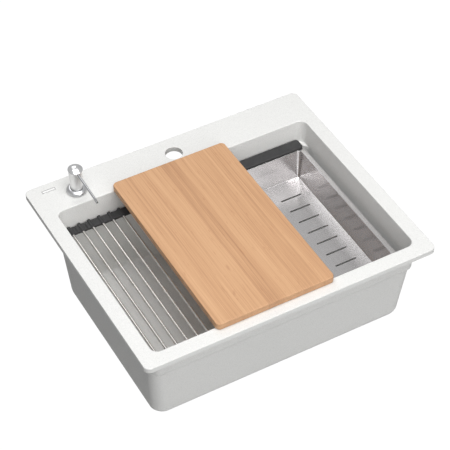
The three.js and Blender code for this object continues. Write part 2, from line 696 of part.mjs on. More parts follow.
function pumpSpring() {
  const low = springSeat + SEAT_GAP + SPRING_WIRE;
  const high = pistonFoot - SEAT_GAP - SPRING_WIRE;
  const radius = CYLINDER_BORE - 1.6;
  const steps = SPRING_COILS * 8;
  const points = [];
  for (let i = 0; i <= steps; i++) {
    const angle = i / 8 * 2 * Math.PI;
    const z = low + (high - low) * i / steps;
    points.push(new THREE.Vector3(radius * Math.cos(angle), radius * Math.sin(angle), z));
  }
  return tubeAlong(new THREE.CatmullRomCurve3(points), SPRING_WIRE, 0, 5, steps);
}

function inletBall() {
  const seat = chamberFoot + Math.sqrt(BALL_RADIUS ** 2 - INLET_BORE ** 2) + 2 * SEAT_GAP;
  return toSolid(new THREE.SphereGeometry(BALL_RADIUS, 12, 8)).translate([0, 0, seat]);
}

function soapBottle() {
  const mouth = SHANK_RADIUS + SEAT_GAP;
  const shoulder = shankFoot - 2;
  const foot = shoulder - BOTTLE_HEIGHT;
  const inner = BOTTLE_RADIUS - BOTTLE_WALL;
  return turned([
    [mouth, shankFoot + BOTTLE_NECK - 2], [mouth, shankFoot - SEAT_GAP],
    [mouth - 1.5, shankFoot - SEAT_GAP], [mouth - 1.5, shoulder - 1], [inner - 5, shoulder - 6],
    [inner, shoulder - 14], [inner, foot + 8], [inner - 5, foot + BOTTLE_WALL],
    [0, foot + BOTTLE_WALL], [0, foot], [inner - 3, foot], [BOTTLE_RADIUS, foot + 7],
    [BOTTLE_RADIUS, shoulder - 13], [inner - 3, shoulder - 4],
    [mouth + BOTTLE_WALL, shoulder], [mouth + BOTTLE_WALL, shankFoot + BOTTLE_NECK - 2],
  ], 20);
}

add(dispenser, 'dispenser_gasket',
  ring(SHANK_RADIUS + SEAT_GAP, COLLAR_RADIUS - 1.5, SEAT_GAP, SEAT_GAP + DECK_GASKET), rubber);
add(dispenser, 'dispenser_collar', collarAndShank(), polished);
add(dispenser, 'dispenser_washer',
  ring(SHANK_RADIUS + SEAT_GAP, DECK_NUT_RADIUS + 2, washerTop - DECK_WASHER, washerTop), rubber);
add(dispenser, 'dispenser_nut', deckNut(), nylon);
add(dispenser, 'pump_cylinder', pumpCylinder(), nylon);
add(dispenser, 'pump_stem', ring(STEM_BORE, STEM_RADIUS, pistonFoot + 2, STEM_TOP, 16), nylon);
add(dispenser, 'pump_piston', pumpPiston(), rubber);
add(dispenser, 'pump_spring', pumpSpring(), steel);
add(dispenser, 'inlet_ball', inletBall(), polished);
add(dispenser, 'dip_tube',
  ring(TUBE_BORE, TUBE_RADIUS, tubeTop - SEAT_GAP - TUBE_LENGTH, tubeTop - SEAT_GAP, 12), nylon);
add(dispenser, 'soap_bottle', soapBottle(), nylon);
add(dispenser, 'head_neck', headNeck(), steel);
add(dispenser, 'head_spout', headSpout(), polished);
const cap = add(dispenser, 'head_cap', headCap().translate([0, CAP_RADIUS, 0]), polished);
cap.position.set(0, -CAP_RADIUS, NECK_TOP + SEAT_GAP);
cap.rotation.x = THREE.MathUtils.degToRad(CAP_TILT);
assembly.add(dispenser);

// ---------------------------------------------------------------- the board on the rim
const boardLow = SEAT_GAP;
const board = plan(
  BOARD_CENTRE_X - BOARD_WIDTH / 2,
  BOARD_CENTRE_X + BOARD_WIDTH / 2,
  openFront - BOARD_ON_FRONT,
  openBack + BOARD_ON_BACK,
  BOARD_CORNER,
);
add(assembly, 'cutting_board', slab(board, boardLow, boardLow + BOARD_THICKNESS, BOARD_EDGE), wood);

// ---------------------------------------------------------------- the slotted pan on the ledges
const colander = new THREE.Group();
const handleLow = ledgeZ + SEAT_GAP;
const panFlangeZ = handleLow + HANDLE_FOOT + PAN_SHEET + SEAT_GAP;
const panFloor = panFlangeZ - PAN_DEPTH;
const panRight = openX - UPPER_DRAFT - PAN_SIDE_GAP;
const panLeft = panRight - PAN_WIDTH;
const handleReach = PAN_SHEET + SEAT_GAP + HANDLE_WIDTH;
const panFront = ledgeFront + PAN_FRONT_GAP + handleReach;
const panBack = ledgeBack - PAN_BACK_GAP - handleReach;
const panMiddleX = (panLeft + panRight) / 2;
const panMiddleY = (panFront + panBack) / 2;

function panSpace(margin) {
  const mouth = plan(panLeft + PAN_FLANGE, panRight - PAN_FLANGE, panFront, panBack, PAN_CORNER);
  const floor = panFloor - margin;
  const fillet = PAN_FILLET + margin;
  const soft = fillet * (1 - Math.SQRT1_2);
  return loft([
    [floor, inset(mouth, PAN_DRAFT + fillet - margin)],
    [floor + soft, inset(mouth, PAN_DRAFT + soft - margin)],
    [floor + fillet, inset(mouth, PAN_DRAFT - margin)],
    [panFlangeZ - PAN_SHEET, inset(mouth, -margin)],
    [panFlangeZ + 1, inset(mouth, -margin)],
  ]);
}

function slot(x, y) {
  const half = SLOT_LENGTH / 2;
  const round = SLOT_WIDTH / 2;
  const shape = plan(x - half, x + half, y - round, y + round, round);
  return loft([[panFloor - 3, shape], [panFloor + 2, shape]], 2);
}

function panBody() {
  const reach = HANDLE_GRIP + PAN_SHEET;
  const flange = plan(panLeft, panRight, panFront - reach, panBack + reach, PAN_CORNER);
  const trim = block(panLeft - 1, panRight + 1, panFront - 50, panBack + 50, panFlangeZ, panFlangeZ + 5);
  let pan = loft([[panFlangeZ - PAN_SHEET, flange], [panFlangeZ, flange]])
    .add(panSpace(PAN_SHEET))
    .subtract(trim)
    .subtract(panSpace(0));
  const columns = [-1, 1].map((side) => panMiddleX + side * (SLOT_LENGTH + SLOT_COLUMN_GAP) / 2);
  const gaps = Math.floor((panBack - panFront - 2 * SLOT_MARGIN) / SLOT_PITCH);
  for (const x of columns) {
    for (let row = 0; row <= gaps; row++) {
      pan = pan.subtract(slot(x, panMiddleY + (row - gaps / 2) * SLOT_PITCH));
    }
  }
  return pan;
}

// side is 1 for the back handle and -1 for the front one.
function panHandle(side) {
  const near = (side > 0 ? panBack : panFront) + side * (PAN_SHEET + SEAT_GAP);
  const far = near + side * HANDLE_WIDTH;
  const left = panLeft + HANDLE_SETBACK;
  const right = panRight - HANDLE_SETBACK;
  const shape = plan(left, right, Math.min(near, far), Math.max(near, far), HANDLE_CORNER);
  const bar = slab(shape, handleLow, handleLow + HANDLE_THICKNESS, HANDLE_EDGE, 4);
  const deep = near + side * (HANDLE_GRIP + SEAT_GAP);
  const groove = block(left - 1, right + 1, Math.min(near - side, deep), Math.max(near - side, deep),
    panFlangeZ - PAN_SHEET - SEAT_GAP, panFlangeZ + SEAT_GAP);
  return bar.subtract(groove);
}

add(colander, 'colander_pan', panBody(), steel);
add(colander, 'colander_handle_back', panHandle(1), silicone);
add(colander, 'colander_handle_front', panHandle(-1), silicone);
assembly.add(colander);

// ---------------------------------------------------------------- the roll-up rack on the ledges
const rack = new THREE.Group();
const rodZ = ledgeZ + SEAT_GAP + SLEEVE_RADIUS;
const stripLow = ledgeZ + SEAT_GAP + STRIP_RISE;
const stripHigh = stripLow + STRIP_THICKNESS;
const stripBack = ledgeBack - STRIP_WALL_GAP - SLEEVE_OVERHANG;
const stripFront = ledgeFront + STRIP_WALL_GAP + SLEEVE_OVERHANG;

function rodX(i) {
  return -openX + UPPER_DRAFT + FIRST_ROD_FROM_WALL + i * ROD_PITCH;
}

// The strip turns on these lines, level with its top face, between the rods that roll up.
function foldX(i) {
  return rodX(i) + ROD_PITCH / 2;
}

function sideStrip(side, first, last) {
  const wallEnd = side > 0 ? stripBack : stripFront;
  const bowlEnd = wallEnd - side * STRIP_WIDTH;
  const left = first === 0 ? rodX(0) - STRIP_END : foldX(first - 1) + SEAT_GAP;
  const right = last === ROD_COUNT - 1 ? rodX(last) + STRIP_END : foldX(last) - SEAT_GAP;
  const [y0, y1] = [Math.min(wallEnd, bowlEnd), Math.max(wallEnd, bowlEnd)];
  const sleeves = [];
  const sockets = [];
  for (let i = first; i <= last; i++) {
    const x = rodX(i);
    sleeves.push(barAlongY(x, y0 - SLEEVE_OVERHANG, y1 + SLEEVE_OVERHANG, rodZ, SLEEVE_RADIUS, 10, 0.8));
    const mouth = bowlEnd - side * (SLEEVE_OVERHANG + 1);
    const end = bowlEnd + side * (ROD_SOCKET + SEAT_GAP);
    sockets.push(barAlongY(x, Math.min(mouth, end), Math.max(mouth, end), rodZ,
      ROD_RADIUS + SEAT_GAP, 8, 0));
  }
  const web = block(left, right, y0, y1, stripLow, stripHigh);
  return sockets.reduce((strip, socket) => strip.subtract(socket), join(web, ...sleeves));
}

function rackRod(i) {
  const back = stripBack - STRIP_WIDTH + ROD_SOCKET;
  const front = stripFront + STRIP_WIDTH - ROD_SOCKET;
  return barAlongY(rodX(i), front, back, rodZ, ROD_RADIUS, 8, 0.4);
}

for (let i = 0; i < ROD_COUNT; i++) {
  add(rack, `rack_rod_${i + 1}`, rackRod(i), steel);
}
for (const [side, word] of [[1, 'back'], [-1, 'front']]) {
  for (let i = 0; i < ROLLING_RODS; i++) {
    add(rack, `rack_link_${i + 1}_${word}`, sideStrip(side, i, i), silicone);
  }
  add(rack, `rack_strip_${word}`, sideStrip(side, ROLLING_RODS, ROD_COUNT - 1), silicone);
}
assembly.add(rack);

// The origin: the middle of the front rim's underside, which rests on the worktop.
const SEAT_FROM_FRONT = 13;
assembly.position.set(0, -SEAT_FROM_FRONT, RIM_THICKNESS);

export default assembly;
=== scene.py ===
# %% [markdown]
# A workstation kitchen sink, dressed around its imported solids. The solids say where everything is
# and how it moves. This script gives each piece a finer skin, a finish and soft studio light.
# Sizes are written in millimetres, as on the drawing of the sink: x = 0 in the middle of the
# width, y = 0 at the rim's front edge and z = 0 at the rim's top face.

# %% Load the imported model
import json
import math

import bmesh
import bpy
from mathutils import Matrix, Vector


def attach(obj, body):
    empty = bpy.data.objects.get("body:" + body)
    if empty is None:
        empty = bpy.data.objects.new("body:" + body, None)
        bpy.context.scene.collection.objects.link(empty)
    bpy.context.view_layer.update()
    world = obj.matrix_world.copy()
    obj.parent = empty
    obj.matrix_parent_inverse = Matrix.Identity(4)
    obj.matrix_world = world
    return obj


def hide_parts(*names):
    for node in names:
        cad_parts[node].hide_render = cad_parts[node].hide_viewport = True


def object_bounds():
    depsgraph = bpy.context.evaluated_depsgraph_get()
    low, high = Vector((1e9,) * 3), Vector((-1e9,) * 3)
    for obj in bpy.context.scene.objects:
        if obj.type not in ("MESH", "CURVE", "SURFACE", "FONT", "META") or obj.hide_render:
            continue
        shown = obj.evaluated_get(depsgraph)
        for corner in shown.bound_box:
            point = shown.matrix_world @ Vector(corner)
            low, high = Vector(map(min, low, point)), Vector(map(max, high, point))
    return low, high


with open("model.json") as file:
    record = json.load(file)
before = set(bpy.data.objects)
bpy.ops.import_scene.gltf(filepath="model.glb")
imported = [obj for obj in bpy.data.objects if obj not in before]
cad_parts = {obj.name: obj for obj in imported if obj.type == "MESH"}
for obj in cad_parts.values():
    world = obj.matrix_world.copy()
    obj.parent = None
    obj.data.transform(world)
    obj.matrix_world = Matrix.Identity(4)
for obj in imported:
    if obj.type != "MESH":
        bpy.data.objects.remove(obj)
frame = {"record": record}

cad_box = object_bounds()

# %% [markdown]
# The model's own origin lies 13 mm behind the rim's front edge, on the worktop that the rim sits
# on, so a drawing point is moved by that much and turned into metres. A ring is a rounded
# rectangle seen from above. It could be a mesh from the start, but it is kept as a plan, because a
# plan can be drawn in by an even margin, as a mould maker offsets a wall.

# %% Drawing points, plans and rings
SEAT_FROM_FRONT = 13
RIM_THICKNESS = 12
CORNER_STEPS = 10
MM = 0.001


def place(point):
    x, y, z = point
    return Vector((x, y - SEAT_FROM_FRONT, z + RIM_THICKNESS)) * MM


def plan(x0, x1, y0, y1, corner):
    """Left, right, front and back edge, and the radius of the corners."""
    return x0, x1, y0, y1, corner


def inset(p, margin):
    x0, x1, y0, y1, corner = p
    return x0 + margin, x1 - margin, y0 + margin, y1 - margin, max(corner - margin, 0.5)


def drawn_in(p, sides, ends):
    """A plan drawn in by one margin at its sides and by another at its front and back."""
    x0, x1, y0, y1, corner = p
    return x0 + sides, x1 - sides, y0 + ends, y1 - ends, corner


def round_plan(x, y, radius):
    return x - radius, x + radius, y - radius, y + radius, radius


def ring_of(p, z):
    x0, x1, y0, y1, corner = p
    centres = ((x1, y1, -1, -1), (x0, y1, 1, -1), (x0, y0, 1, 1), (x1, y0, -1, 1))
    ring = []
    for quarter, (x, y, inward_x, inward_y) in enumerate(centres):
        for step in range(CORNER_STEPS + 1):
            angle = (quarter + step / CORNER_STEPS) * math.pi / 2
            ring.append(Vector((
                x + inward_x * corner + corner * math.cos(angle),
                y + inward_y * corner + corner * math.sin(angle), z)))
    return ring


# %% [markdown]
# A moulded or pressed piece has no sharp corner. A Bevel modifier could round it at the end, but it
# gives every edge one width. So a line of points is rounded before it becomes a surface: each
# corner with a radius turns into a short curve. The same helper serves plans that are stacked up a
# wall and profiles that are turned on a lathe.

# %% Rounding a line of points
BEND_STEPS = 4


def soften(points, radii, closed):
    line = []
    count = len(points)
    for i, (here, radius) in enumerate(zip(points, radii)):
        if radius == 0 or not closed and i in (0, count - 1):
            line.append(here.copy())
            continue
        back = points[i - 1] - here
        ahead = points[(i + 1) % count] - here
        if back.length < 1e-6 or ahead.length < 1e-6:
            line += [here.copy()] * (BEND_STEPS + 1)
            continue
        half = max(back.angle(ahead) / 2, 0.05)
        reach = min(radius / math.tan(half), 0.49 * back.length, 0.49 * ahead.length)
        start, end = here + back.normalized() * reach, here + ahead.normalized() * reach
        for step in range(BEND_STEPS + 1):
            t = step / BEND_STEPS
            line.append(start * (1 - t) ** 2 + here * 2 * t * (1 - t) + end * t ** 2)
    return line


# %% [markdown]
# Rings that lie one after another are joined into a skin. If the last ring joins the first, the
# skin closes on itself, as a bowl with a hole in its floor does. Otherwise its ends are capped. A
# box that is subdivided and pushed into shape would look alike, but rings keep every drawn size.

# %% A skin over rings
def skin(rings, closed, capped=True):
    bm = bmesh.new()
    rows = [[bm.verts.new(place(point)) for point in ring] for ring in rings]
    around = rows[1:] + rows[:1] if closed else rows[1:]
    for low, high in zip(rows, around):
        for i in range(len(low)):
            j = (i + 1) % len(low)
            bm.faces.new((low[i], low[j], high[j], high[i]))
    if not closed and capped:
        bm.faces.new(rows[0][::-1])
        bm.faces.new(rows[-1])
    bmesh.ops.remove_doubles(bm, verts=bm.verts, dist=1e-7)
    bmesh.ops.dissolve_degenerate(bm, edges=bm.edges, dist=1e-7)
    bmesh.ops.recalc_face_normals(bm, faces=bm.faces)
    return bm


def stack(levels, closed):
    """levels are (plan, z, radius of the bend there)."""
    key_rings = [ring_of(p, z) for p, z, _ in levels]
    radii = [radius for _, _, radius in levels]
    columns = [soften(list(points), radii, closed) for points in zip(*key_rings)]
    return skin([list(ring) for ring in zip(*columns)], closed)


def turn(profile, axis=(0, 0), sides=64):
    """profile is (radius, z, radius of the bend there). It ends on the axis, or closes."""
    closed = profile[0][0] > 0
    points = [Vector((radius, 0, z)) for radius, z, _ in profile]
    line = soften(points, [bend for _, _, bend in profile], closed)
    turns = [2 * math.pi * i / sides for i in range(sides)]
    rings = [[Vector((axis[0] + point.x * math.cos(a), axis[1] + point.x * math.sin(a), point.z))
              for a in turns] for point in line]
    return skin(rings, closed, capped=False)


# %% [markdown]
# A bent tube or a coil is a circle that is carried along a line of points. A curve object with a
# round bevel draws one too, but this way gives the bore as well, in one closed mesh. The circle is
# turned with the line's direction and no more, so the tube doesn't twist.

# %% Tubes and coils
def carried(points):
    """A frame at each point: its place and two directions across the line."""
    side = Vector((1, 0, 0))
    frames = []
    for i, point in enumerate(points):
        ahead = (points[min(i + 1, len(points) - 1)] - points[max(i - 1, 0)]).normalized()
        side = (side - ahead * side.dot(ahead)).normalized()
        frames.append((point, side, ahead.cross(side)))
    return frames


def tube(points, radius, bore=0, sides=24):
    """A tube along points. With no bore it is a bar with flat ends."""
    def rings_of(r):
        turns = [2 * math.pi * i / sides for i in range(sides)]
        return [[at + (u * math.cos(a) + v * math.sin(a)) * r for a in turns]
                for at, u, v in carried(points)]
    if bore == 0:
        return skin(rings_of(radius), closed=False)
    return skin(rings_of(radius) + rings_of(bore)[::-1], closed=True)


def smooth_line(points, steps=8):
    """A smooth line through points, each stretch in that many steps."""
    ends = [points[0] * 2 - points[1]] + points + [points[-1] * 2 - points[-2]]
    line = []
    for a, b, c, d in zip(ends, ends[1:], ends[2:], ends[3:]):
        for step in range(steps):
            t = step / steps
            line.append((b * 2 + (c - a) * t + (a * 2 - b * 5 + c * 4 - d) * t * t
                         + (b * 3 - a - c * 3 + d) * t ** 3) / 2)
    return line + [points[-1].copy()]


# %% [markdown]
# Each finished mesh becomes a piece: it takes a material, stands for its solids and rides on their
# body. Shading it smooth all over would blur its edges. So faces that meet at a small angle are
# shaded as one, and large flat faces keep their own direction, which leaves no dent round a hole.

# %% Making a piece
SHARP_ANGLE = math.radians(38)
body_of_node = {}
for body, nodes in frame["record"]["behaviour"]["bodies"].items():
    body_of_node.update(dict.fromkeys(nodes, body))


def object_from(name, bm, material=None):
    mesh = bpy.data.meshes.new(name)
    bm.to_mesh(mesh)
    bm.free()
    if material:
        mesh.materials.append(material)
    made = bpy.data.objects.new(name, mesh)
    bpy.context.collection.objects.link(made)
    return made


def apply_modifiers(made):
    graph = bpy.context.evaluated_depsgraph_get()
    mesh = bpy.data.meshes.new_from_object(made.evaluated_get(graph), depsgraph=graph)
    made.modifiers.clear()
    made.data = mesh


def settle(made, *nodes):
    """The last step of every piece: even shading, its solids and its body."""
    made.data.shade_smooth()
    made.data.set_sharp_from_angle(angle=SHARP_ANGLE)
    even = made.modifiers.new("even shading", "WEIGHTED_NORMAL")
    even.keep_sharp = True
    apply_modifiers(made)
    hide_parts(*nodes)
    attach(made, body_of_node[nodes[0]])
    print(f"{made.name}: {len(made.data.polygons)} faces on {body_of_node[nodes[0]]}")
    return made


# %% [markdown]
# Some pieces are two shapes in one, such as a nut with wings, and some have holes. Shapes that
# belong together can simply share a mesh. A hole needs a Boolean modifier. Its exact solver is
# slower than the others, but it leaves clean edges.

# %% Joining and cutting
def add_shape(made, bm):
    """Joins another closed shape to a piece's mesh."""
    whole = bmesh.new()
    whole.from_mesh(made.data)
    mesh = bpy.data.meshes.new("part")
    bm.to_mesh(mesh)
    whole.from_mesh(mesh)
    whole.to_mesh(made.data)
    bpy.data.meshes.remove(mesh)


def cut(made, *cutters):
    """Takes closed shapes away from a piece, and merges the points that meet at the new edges."""
    for cutter in cutters:
        tool = object_from("cutter", cutter)
        difference = made.modifiers.new("cut", "BOOLEAN")
        difference.operation = "DIFFERENCE"
        difference.solver = "EXACT"
        difference.object = tool
        apply_modifiers(made)
        bpy.data.objects.remove(tool)
    merged = bmesh.new()
    merged.from_mesh(made.data)
    bmesh.ops.remove_doubles(merged, verts=merged.verts, dist=1e-6)
    bmesh.ops.dissolve_degenerate(merged, edges=merged.edges, dist=1e-6)
    merged.to_mesh(made.data)
    merged.free()


# %% [markdown]
# Node trees can be wired by hand in the editor, but a script that does so link by link is hard to
# follow, and maths reads best as plain sums. One small class holds a socket and adds a Math node
# for each operator. Every other node comes from its method node(), which takes the node's type,
# its settings and what goes into its sockets. It serves Geometry Nodes as well.

# %% One class for node trees
class Value:
    def __init__(self, tree, socket=None):
        self.tree, self.socket = tree, socket

    def node(self, kind, settings=None, sockets=None, output=0):
        """A new node: settings come first, then a value or a link for each socket."""
        made = self.tree.nodes.new(kind)
        for name, setting in (settings or {}).items():
            if name == "stops":
                ramp = made.color_ramp
                ramp.elements.remove(ramp.elements[1])
                ramp.elements[0].position, ramp.elements[0].color = setting[0]
                for position, color in setting[1:]:
                    ramp.elements.new(position).color = color
            else:
                setattr(made, name, setting)
        for name, content in (sockets or {}).items():
            if isinstance(content, Value):
                self.tree.links.new(content.socket, made.inputs[name])
            else:
                made.inputs[name].default_value = content
        return Value(self.tree, made.outputs[output])

    def math(self, operation, *others):
        return self.node("ShaderNodeMath", {"operation": operation},
                         dict(enumerate((self,) + others)))

    def reflected(self, operation, other):
        return self.node("ShaderNodeMath", {"operation": operation}, {0: other, 1: self})

    def __add__(self, other):
        return self.math("ADD", other)

    __radd__ = __add__

    def __sub__(self, other):
        return self.math("SUBTRACT", other)

    def __rsub__(self, other):
        return self.reflected("SUBTRACT", other)

    def __mul__(self, other):
        return self.math("MULTIPLY", other)

    __rmul__ = __mul__

    def between(self, low, high):
        """0 below low, 1 above high and a smooth step from one to the other."""
        return self.node("ShaderNodeMapRange", {"interpolation_type": "SMOOTHSTEP"},
                         {"Value": self, "From Min": low, "From Max": high})

    def mix(self, a, b):
        """Colour a where this value is 0, and b where it is 1."""
        return self.node("ShaderNodeMix", {"data_type": "RGBA"}, {0: self, 6: a, 7: b}, output=2)

    def scaled(self, scale, location=(0, 0, 0)):
        return self.node("ShaderNodeMapping", None,
                         {"Vector": self, "Scale": scale, "Location": location})

    def noise(self, scale, detail=2.0, roughness=0.5):
        return self.node("ShaderNodeTexNoise", {"noise_dimensions": "3D"}, {
            "Vector": self, "Scale": scale, "Detail": detail, "Roughness": roughness})

    def axes(self):
        """x, y and z as three values."""
        split = self.node("ShaderNodeSeparateXYZ", None, {"Vector": self}).socket.node
        return [Value(self.tree, split.outputs[i]) for i in range(3)]


# %% [markdown]
# Every finish here is one Principled shader, which suits metal, stone, wood and rubber alike. Each
# could be set up by hand, but a small class holds what they share. Patterns read the piece's own
# metres through Object coordinates, so a grain has the same size on every piece and stays with it
# when it moves.

# %% Colours and finishes
def colour(red, green, blue):
    """A colour as a picture shows it, 0 to 255, turned into the light values that shaders mix."""
    def linear(c):
        c /= 255
        return c / 12.92 if c <= 0.04045 else ((c + 0.055) / 1.055) ** 2.4
    return linear(red), linear(green), linear(blue), 1.0


class Finish:
    """A material with its Principled shader. coords reads the piece's own metres, facing its
    normal."""
    def __init__(self, name, **constants):
        self.material = bpy.data.materials.new(name)
        self.material.use_nodes = True
        self.tree = self.material.node_tree
        self.shader = self.tree.nodes["Principled BSDF"]
        for socket, content in constants.items():
            self.shader.inputs[socket.replace("_", " ")].default_value = content
        start = Value(self.tree)
        self.coords = start.node("ShaderNodeTexCoord", output=3)
        self.facing = start.node("ShaderNodeTexCoord", output=1)

    def feed(self, socket, content):
        self.tree.links.new(content.socket, self.shader.inputs[socket])

    def bump(self, height, distance, strength=1.0):
        self.feed("Normal", height.node("ShaderNodeBump", None, {
            "Height": height, "Distance": distance, "Strength": strength}))


# %% [markdown]
# The bowl is moulded from stone grit in resin. It is matt white with a very fine speckle: grains
# about a millimetre wide, a few of them a little darker. Speckle could be painted on, but paint
# has seams, and noise in the piece's own metres covers any shape evenly. So noise at two sizes
# gives the speckle, and the same noise, as a very shallow bump, breaks up the reflection.

# %% White composite
def composite_finish():
    finish = Finish("white_composite", IOR=1.42)
    grit = finish.coords.noise(620, detail=3, roughness=0.75)
    fleck = finish.coords.noise(300, detail=2, roughness=0.6)
    cloud = finish.coords.noise(9, detail=2)
    base = grit.between(0.36, 0.62).mix(colour(221, 221, 219), colour(233, 233, 231))
    worn = fleck.between(0.66, 0.74).mix(base, colour(209, 209, 207))
    finish.feed("Base Color", (cloud.between(0.3, 0.8) * 0.1).mix(worn, colour(222, 222, 220)))
    finish.feed("Roughness", grit * 0.2 + 0.52)
    finish.bump(grit + fleck * 0.5, 0.00009, 0.5)
    return finish.material


composite = composite_finish()
print("made", composite.name)

# %% [markdown]
# Brushed steel is a mirror with thousands of fine scratches that all run one way. A shader that
# stretches its highlights hints at them, but noise that is drawn out along one direction also
# shows the scratches from near by, so that is the way here. On the walls that cross this
# direction, they run the other way, and the piece's own normal chooses between the two. Polished
# metal has only a faint smudge.

# %% Brushed and polished steel
LONG_WAY, SHORT_WAY = 14, 1900
SCRATCH_SHADE = 0.965


def scratches(coords, lengthways):
    """Fine noise that is drawn out along one axis."""
    return coords.scaled([LONG_WAY if axis == lengthways else SHORT_WAY for axis in "xyz"]).noise(
        1, detail=3)


def brushed_finish(name, tint, rough, lengthways="y", groove=0.00001):
    finish = Finish(name, Metallic=1.0)
    scratch = scratches(finish.coords, lengthways)
    if lengthways == "y":
        across = finish.facing.axes()[1].math("ABSOLUTE").between(0.5, 0.8)
        scratch = across * scratches(finish.coords, "x") + (1 - across) * scratch
    smudge = finish.coords.noise(22, detail=3, roughness=0.6)
    light, dark = colour(*tint), colour(*(SCRATCH_SHADE * c for c in tint))
    finish.feed("Base Color", scratch.between(0.3, 0.7).mix(dark, light))
    finish.feed("Roughness", scratch * 0.08 + smudge * 0.03 + (rough - 0.05))
    finish.bump(scratch, groove, 0.4)
    return finish.material


def polished_finish():
    finish = Finish("polished_metal", Metallic=1.0)
    smudge = finish.coords.noise(60, detail=4, roughness=0.65)
    finish.feed("Base Color", smudge.between(0.3, 0.7).mix(
        colour(230, 231, 232), colour(240, 240, 241)))
    finish.feed("Roughness", smudge * 0.08 + 0.17)
    finish.bump(finish.coords.noise(900, detail=2), 0.00001, 0.3)
    return finish.material


pan_steel = brushed_finish("pan_steel", (219, 217, 217), 0.225, groove=0.000001)
rod_steel = brushed_finish("rod_steel", (228, 225, 222), 0.2)
neck_steel = brushed_finish("neck_steel", (238, 238, 238), 0.42, lengthways="z", groove=0.00003)
collar_steel = brushed_finish("collar_steel", (206, 207, 209), 0.3, lengthways="z", groove=0.00001)
# The spout's steel is tinted darker than the neck's: painted shade that stands in for the dark
# surroundings it reflects.
spout_steel_painted_dark = brushed_finish("spout_steel_painted_dark", (188, 189, 191), 0.2, groove=0.000004)
polished = polished_finish()
for metal in (pan_steel, rod_steel, neck_steel, collar_steel, spout_steel_painted_dark, polished):
    print("made", metal.name)

# %% [markdown]
# The board is glued up from beech staves that run along its length. Each stave has its own tone.
# Inside it, the grain is a bundle of long soft streaks with fine darker lines, a few short flecks
# and here and there a small knot. A wave texture gives grain too, but its lines are all alike. So
# all of it is noise that is drawn out along the stave, and each stave looks up its own part of it.

# %% Beech staves
STAVE_EDGES = (-0.128, -0.090, -0.052, -0.018, 0.012, 0.048, 0.076)
STAVE_TONES = (0.38, 0.5, 0.36, 0.78, 0.34, 0.52, 0.4, 0.5)


def wood_finish():
    finish = Finish("beech", IOR=1.45)
    wander = finish.coords.scaled((4, 3, 4)).noise(1, detail=2)
    x, y, z = finish.coords.axes()
    x = x + (wander - 0.5) * 0.012
    tone = STAVE_TONES[0] + 0 * x
    seam = 0 * x
    for edge, before, after in zip(STAVE_EDGES, STAVE_TONES, STAVE_TONES[1:]):
        tone = tone + (after - before) * x.between(edge - 0.0005, edge + 0.0005)
        seam = seam + (1 - (x - edge).math("ABSOLUTE").between(0.0002, 0.0007))
    bent = x.node("ShaderNodeCombineXYZ", None, {0: x, 1: y, 2: z + tone * 3})
    streaks = bent.scaled((70, 2.6, 60)).noise(1, detail=4, roughness=0.55)
    lines = bent.scaled((620, 4, 300)).noise(1, detail=3, roughness=0.6)
    hairs = bent.scaled((1500, 26, 900)).noise(1, detail=2)
    flecks = bent.scaled((420, 36, 300)).noise(1, detail=1)
    knots = bent.scaled((42, 15, 30), (0.3, 0.7, 0.1)).noise(1, detail=1)
    depth = (tone * 0.44 + streaks.between(0.25, 0.75) * 0.26 + lines.between(0.3, 0.72) * 0.3
             + (hairs - 0.5) * 0.3)
    pale, mid, deep = colour(214, 171, 131), colour(199, 154, 115), colour(166, 122, 89)
    ramp = depth.node("ShaderNodeValToRGB",
                      {"stops": [(0.1, pale), (0.5, mid), (0.95, deep)]}, {0: depth})
    dark_line = lines.between(0.62, 0.76) * 0.45
    marked = dark_line.mix(ramp, colour(170, 120, 84))
    flecked = (flecks.between(0.7, 0.78) * 0.5).mix(marked, colour(168, 114, 76))
    knotted = (knots.between(0.74, 0.83) * 0.55).mix(flecked, colour(158, 104, 70))
    finish.feed("Base Color", (seam.math("MINIMUM", 1.0) * 0.22).mix(knotted, colour(170, 120, 84)))
    finish.feed("Roughness", lines * 0.16 + 0.42)
    finish.bump(lines * 0.6 + hairs * 0.4 - seam * 0.3, 0.00012, 0.5)
    return finish.material


wood = wood_finish()
print("made", wood.name, "with", len(STAVE_EDGES) + 1, "staves")

# %% [markdown]
# The plain finishes are all made one way, because they differ only in colour and grain. Silicone
# and rubber are dark and matt with a faint bloom, moulded nylon is off-white with a slight orange
# peel, and pressed fibre is brown and rough. One flat colour would look like paint, so a soft
# cloud and a fine peel are mixed in.

# %% Moulded and pressed finishes
def moulded_finish(name, low, high, rough, grain, depth):
    finish = Finish(name, IOR=1.47)
    cloud = finish.coords.noise(40, detail=3, roughness=0.6)
    peel = finish.coords.noise(grain, detail=2)
    finish.feed("Base Color", (cloud.between(0.3, 0.7) * 0.6 + peel * 0.4).mix(
        colour(*low), colour(*high)))
    finish.feed("Roughness", cloud * 0.12 + peel * 0.08 + (rough - 0.1))
    finish.bump(peel, depth, 0.6)
    return finish.material


silicone = moulded_finish("dark_silicone", (44, 44, 45), (58, 58, 59), 0.55, 1100, 0.00006)
rubber = moulded_finish("black_rubber", (30, 30, 31), (42, 42, 43), 0.75, 700, 0.00008)
nylon = moulded_finish("moulded_nylon", (214, 214, 208), (232, 232, 227), 0.42, 260, 0.00006)
fibre = moulded_finish("pressed_fibre", (150, 128, 96), (186, 162, 126), 0.85, 900, 0.00015)
print("made", silicone.name, rubber.name, nylon.name, fibre.name)

# %% [markdown]
# The sink is one moulding. Its skin runs in a single loop: from the hole in the floor out under
# the bowl, up the outside, round the rim, over the deck, down past the ledge and back along the
# floor to the hole. A block with a hollow cut out would need all its edges rounded afterwards. So
# a list of plans and levels, each with its bend, is the whole bowl.

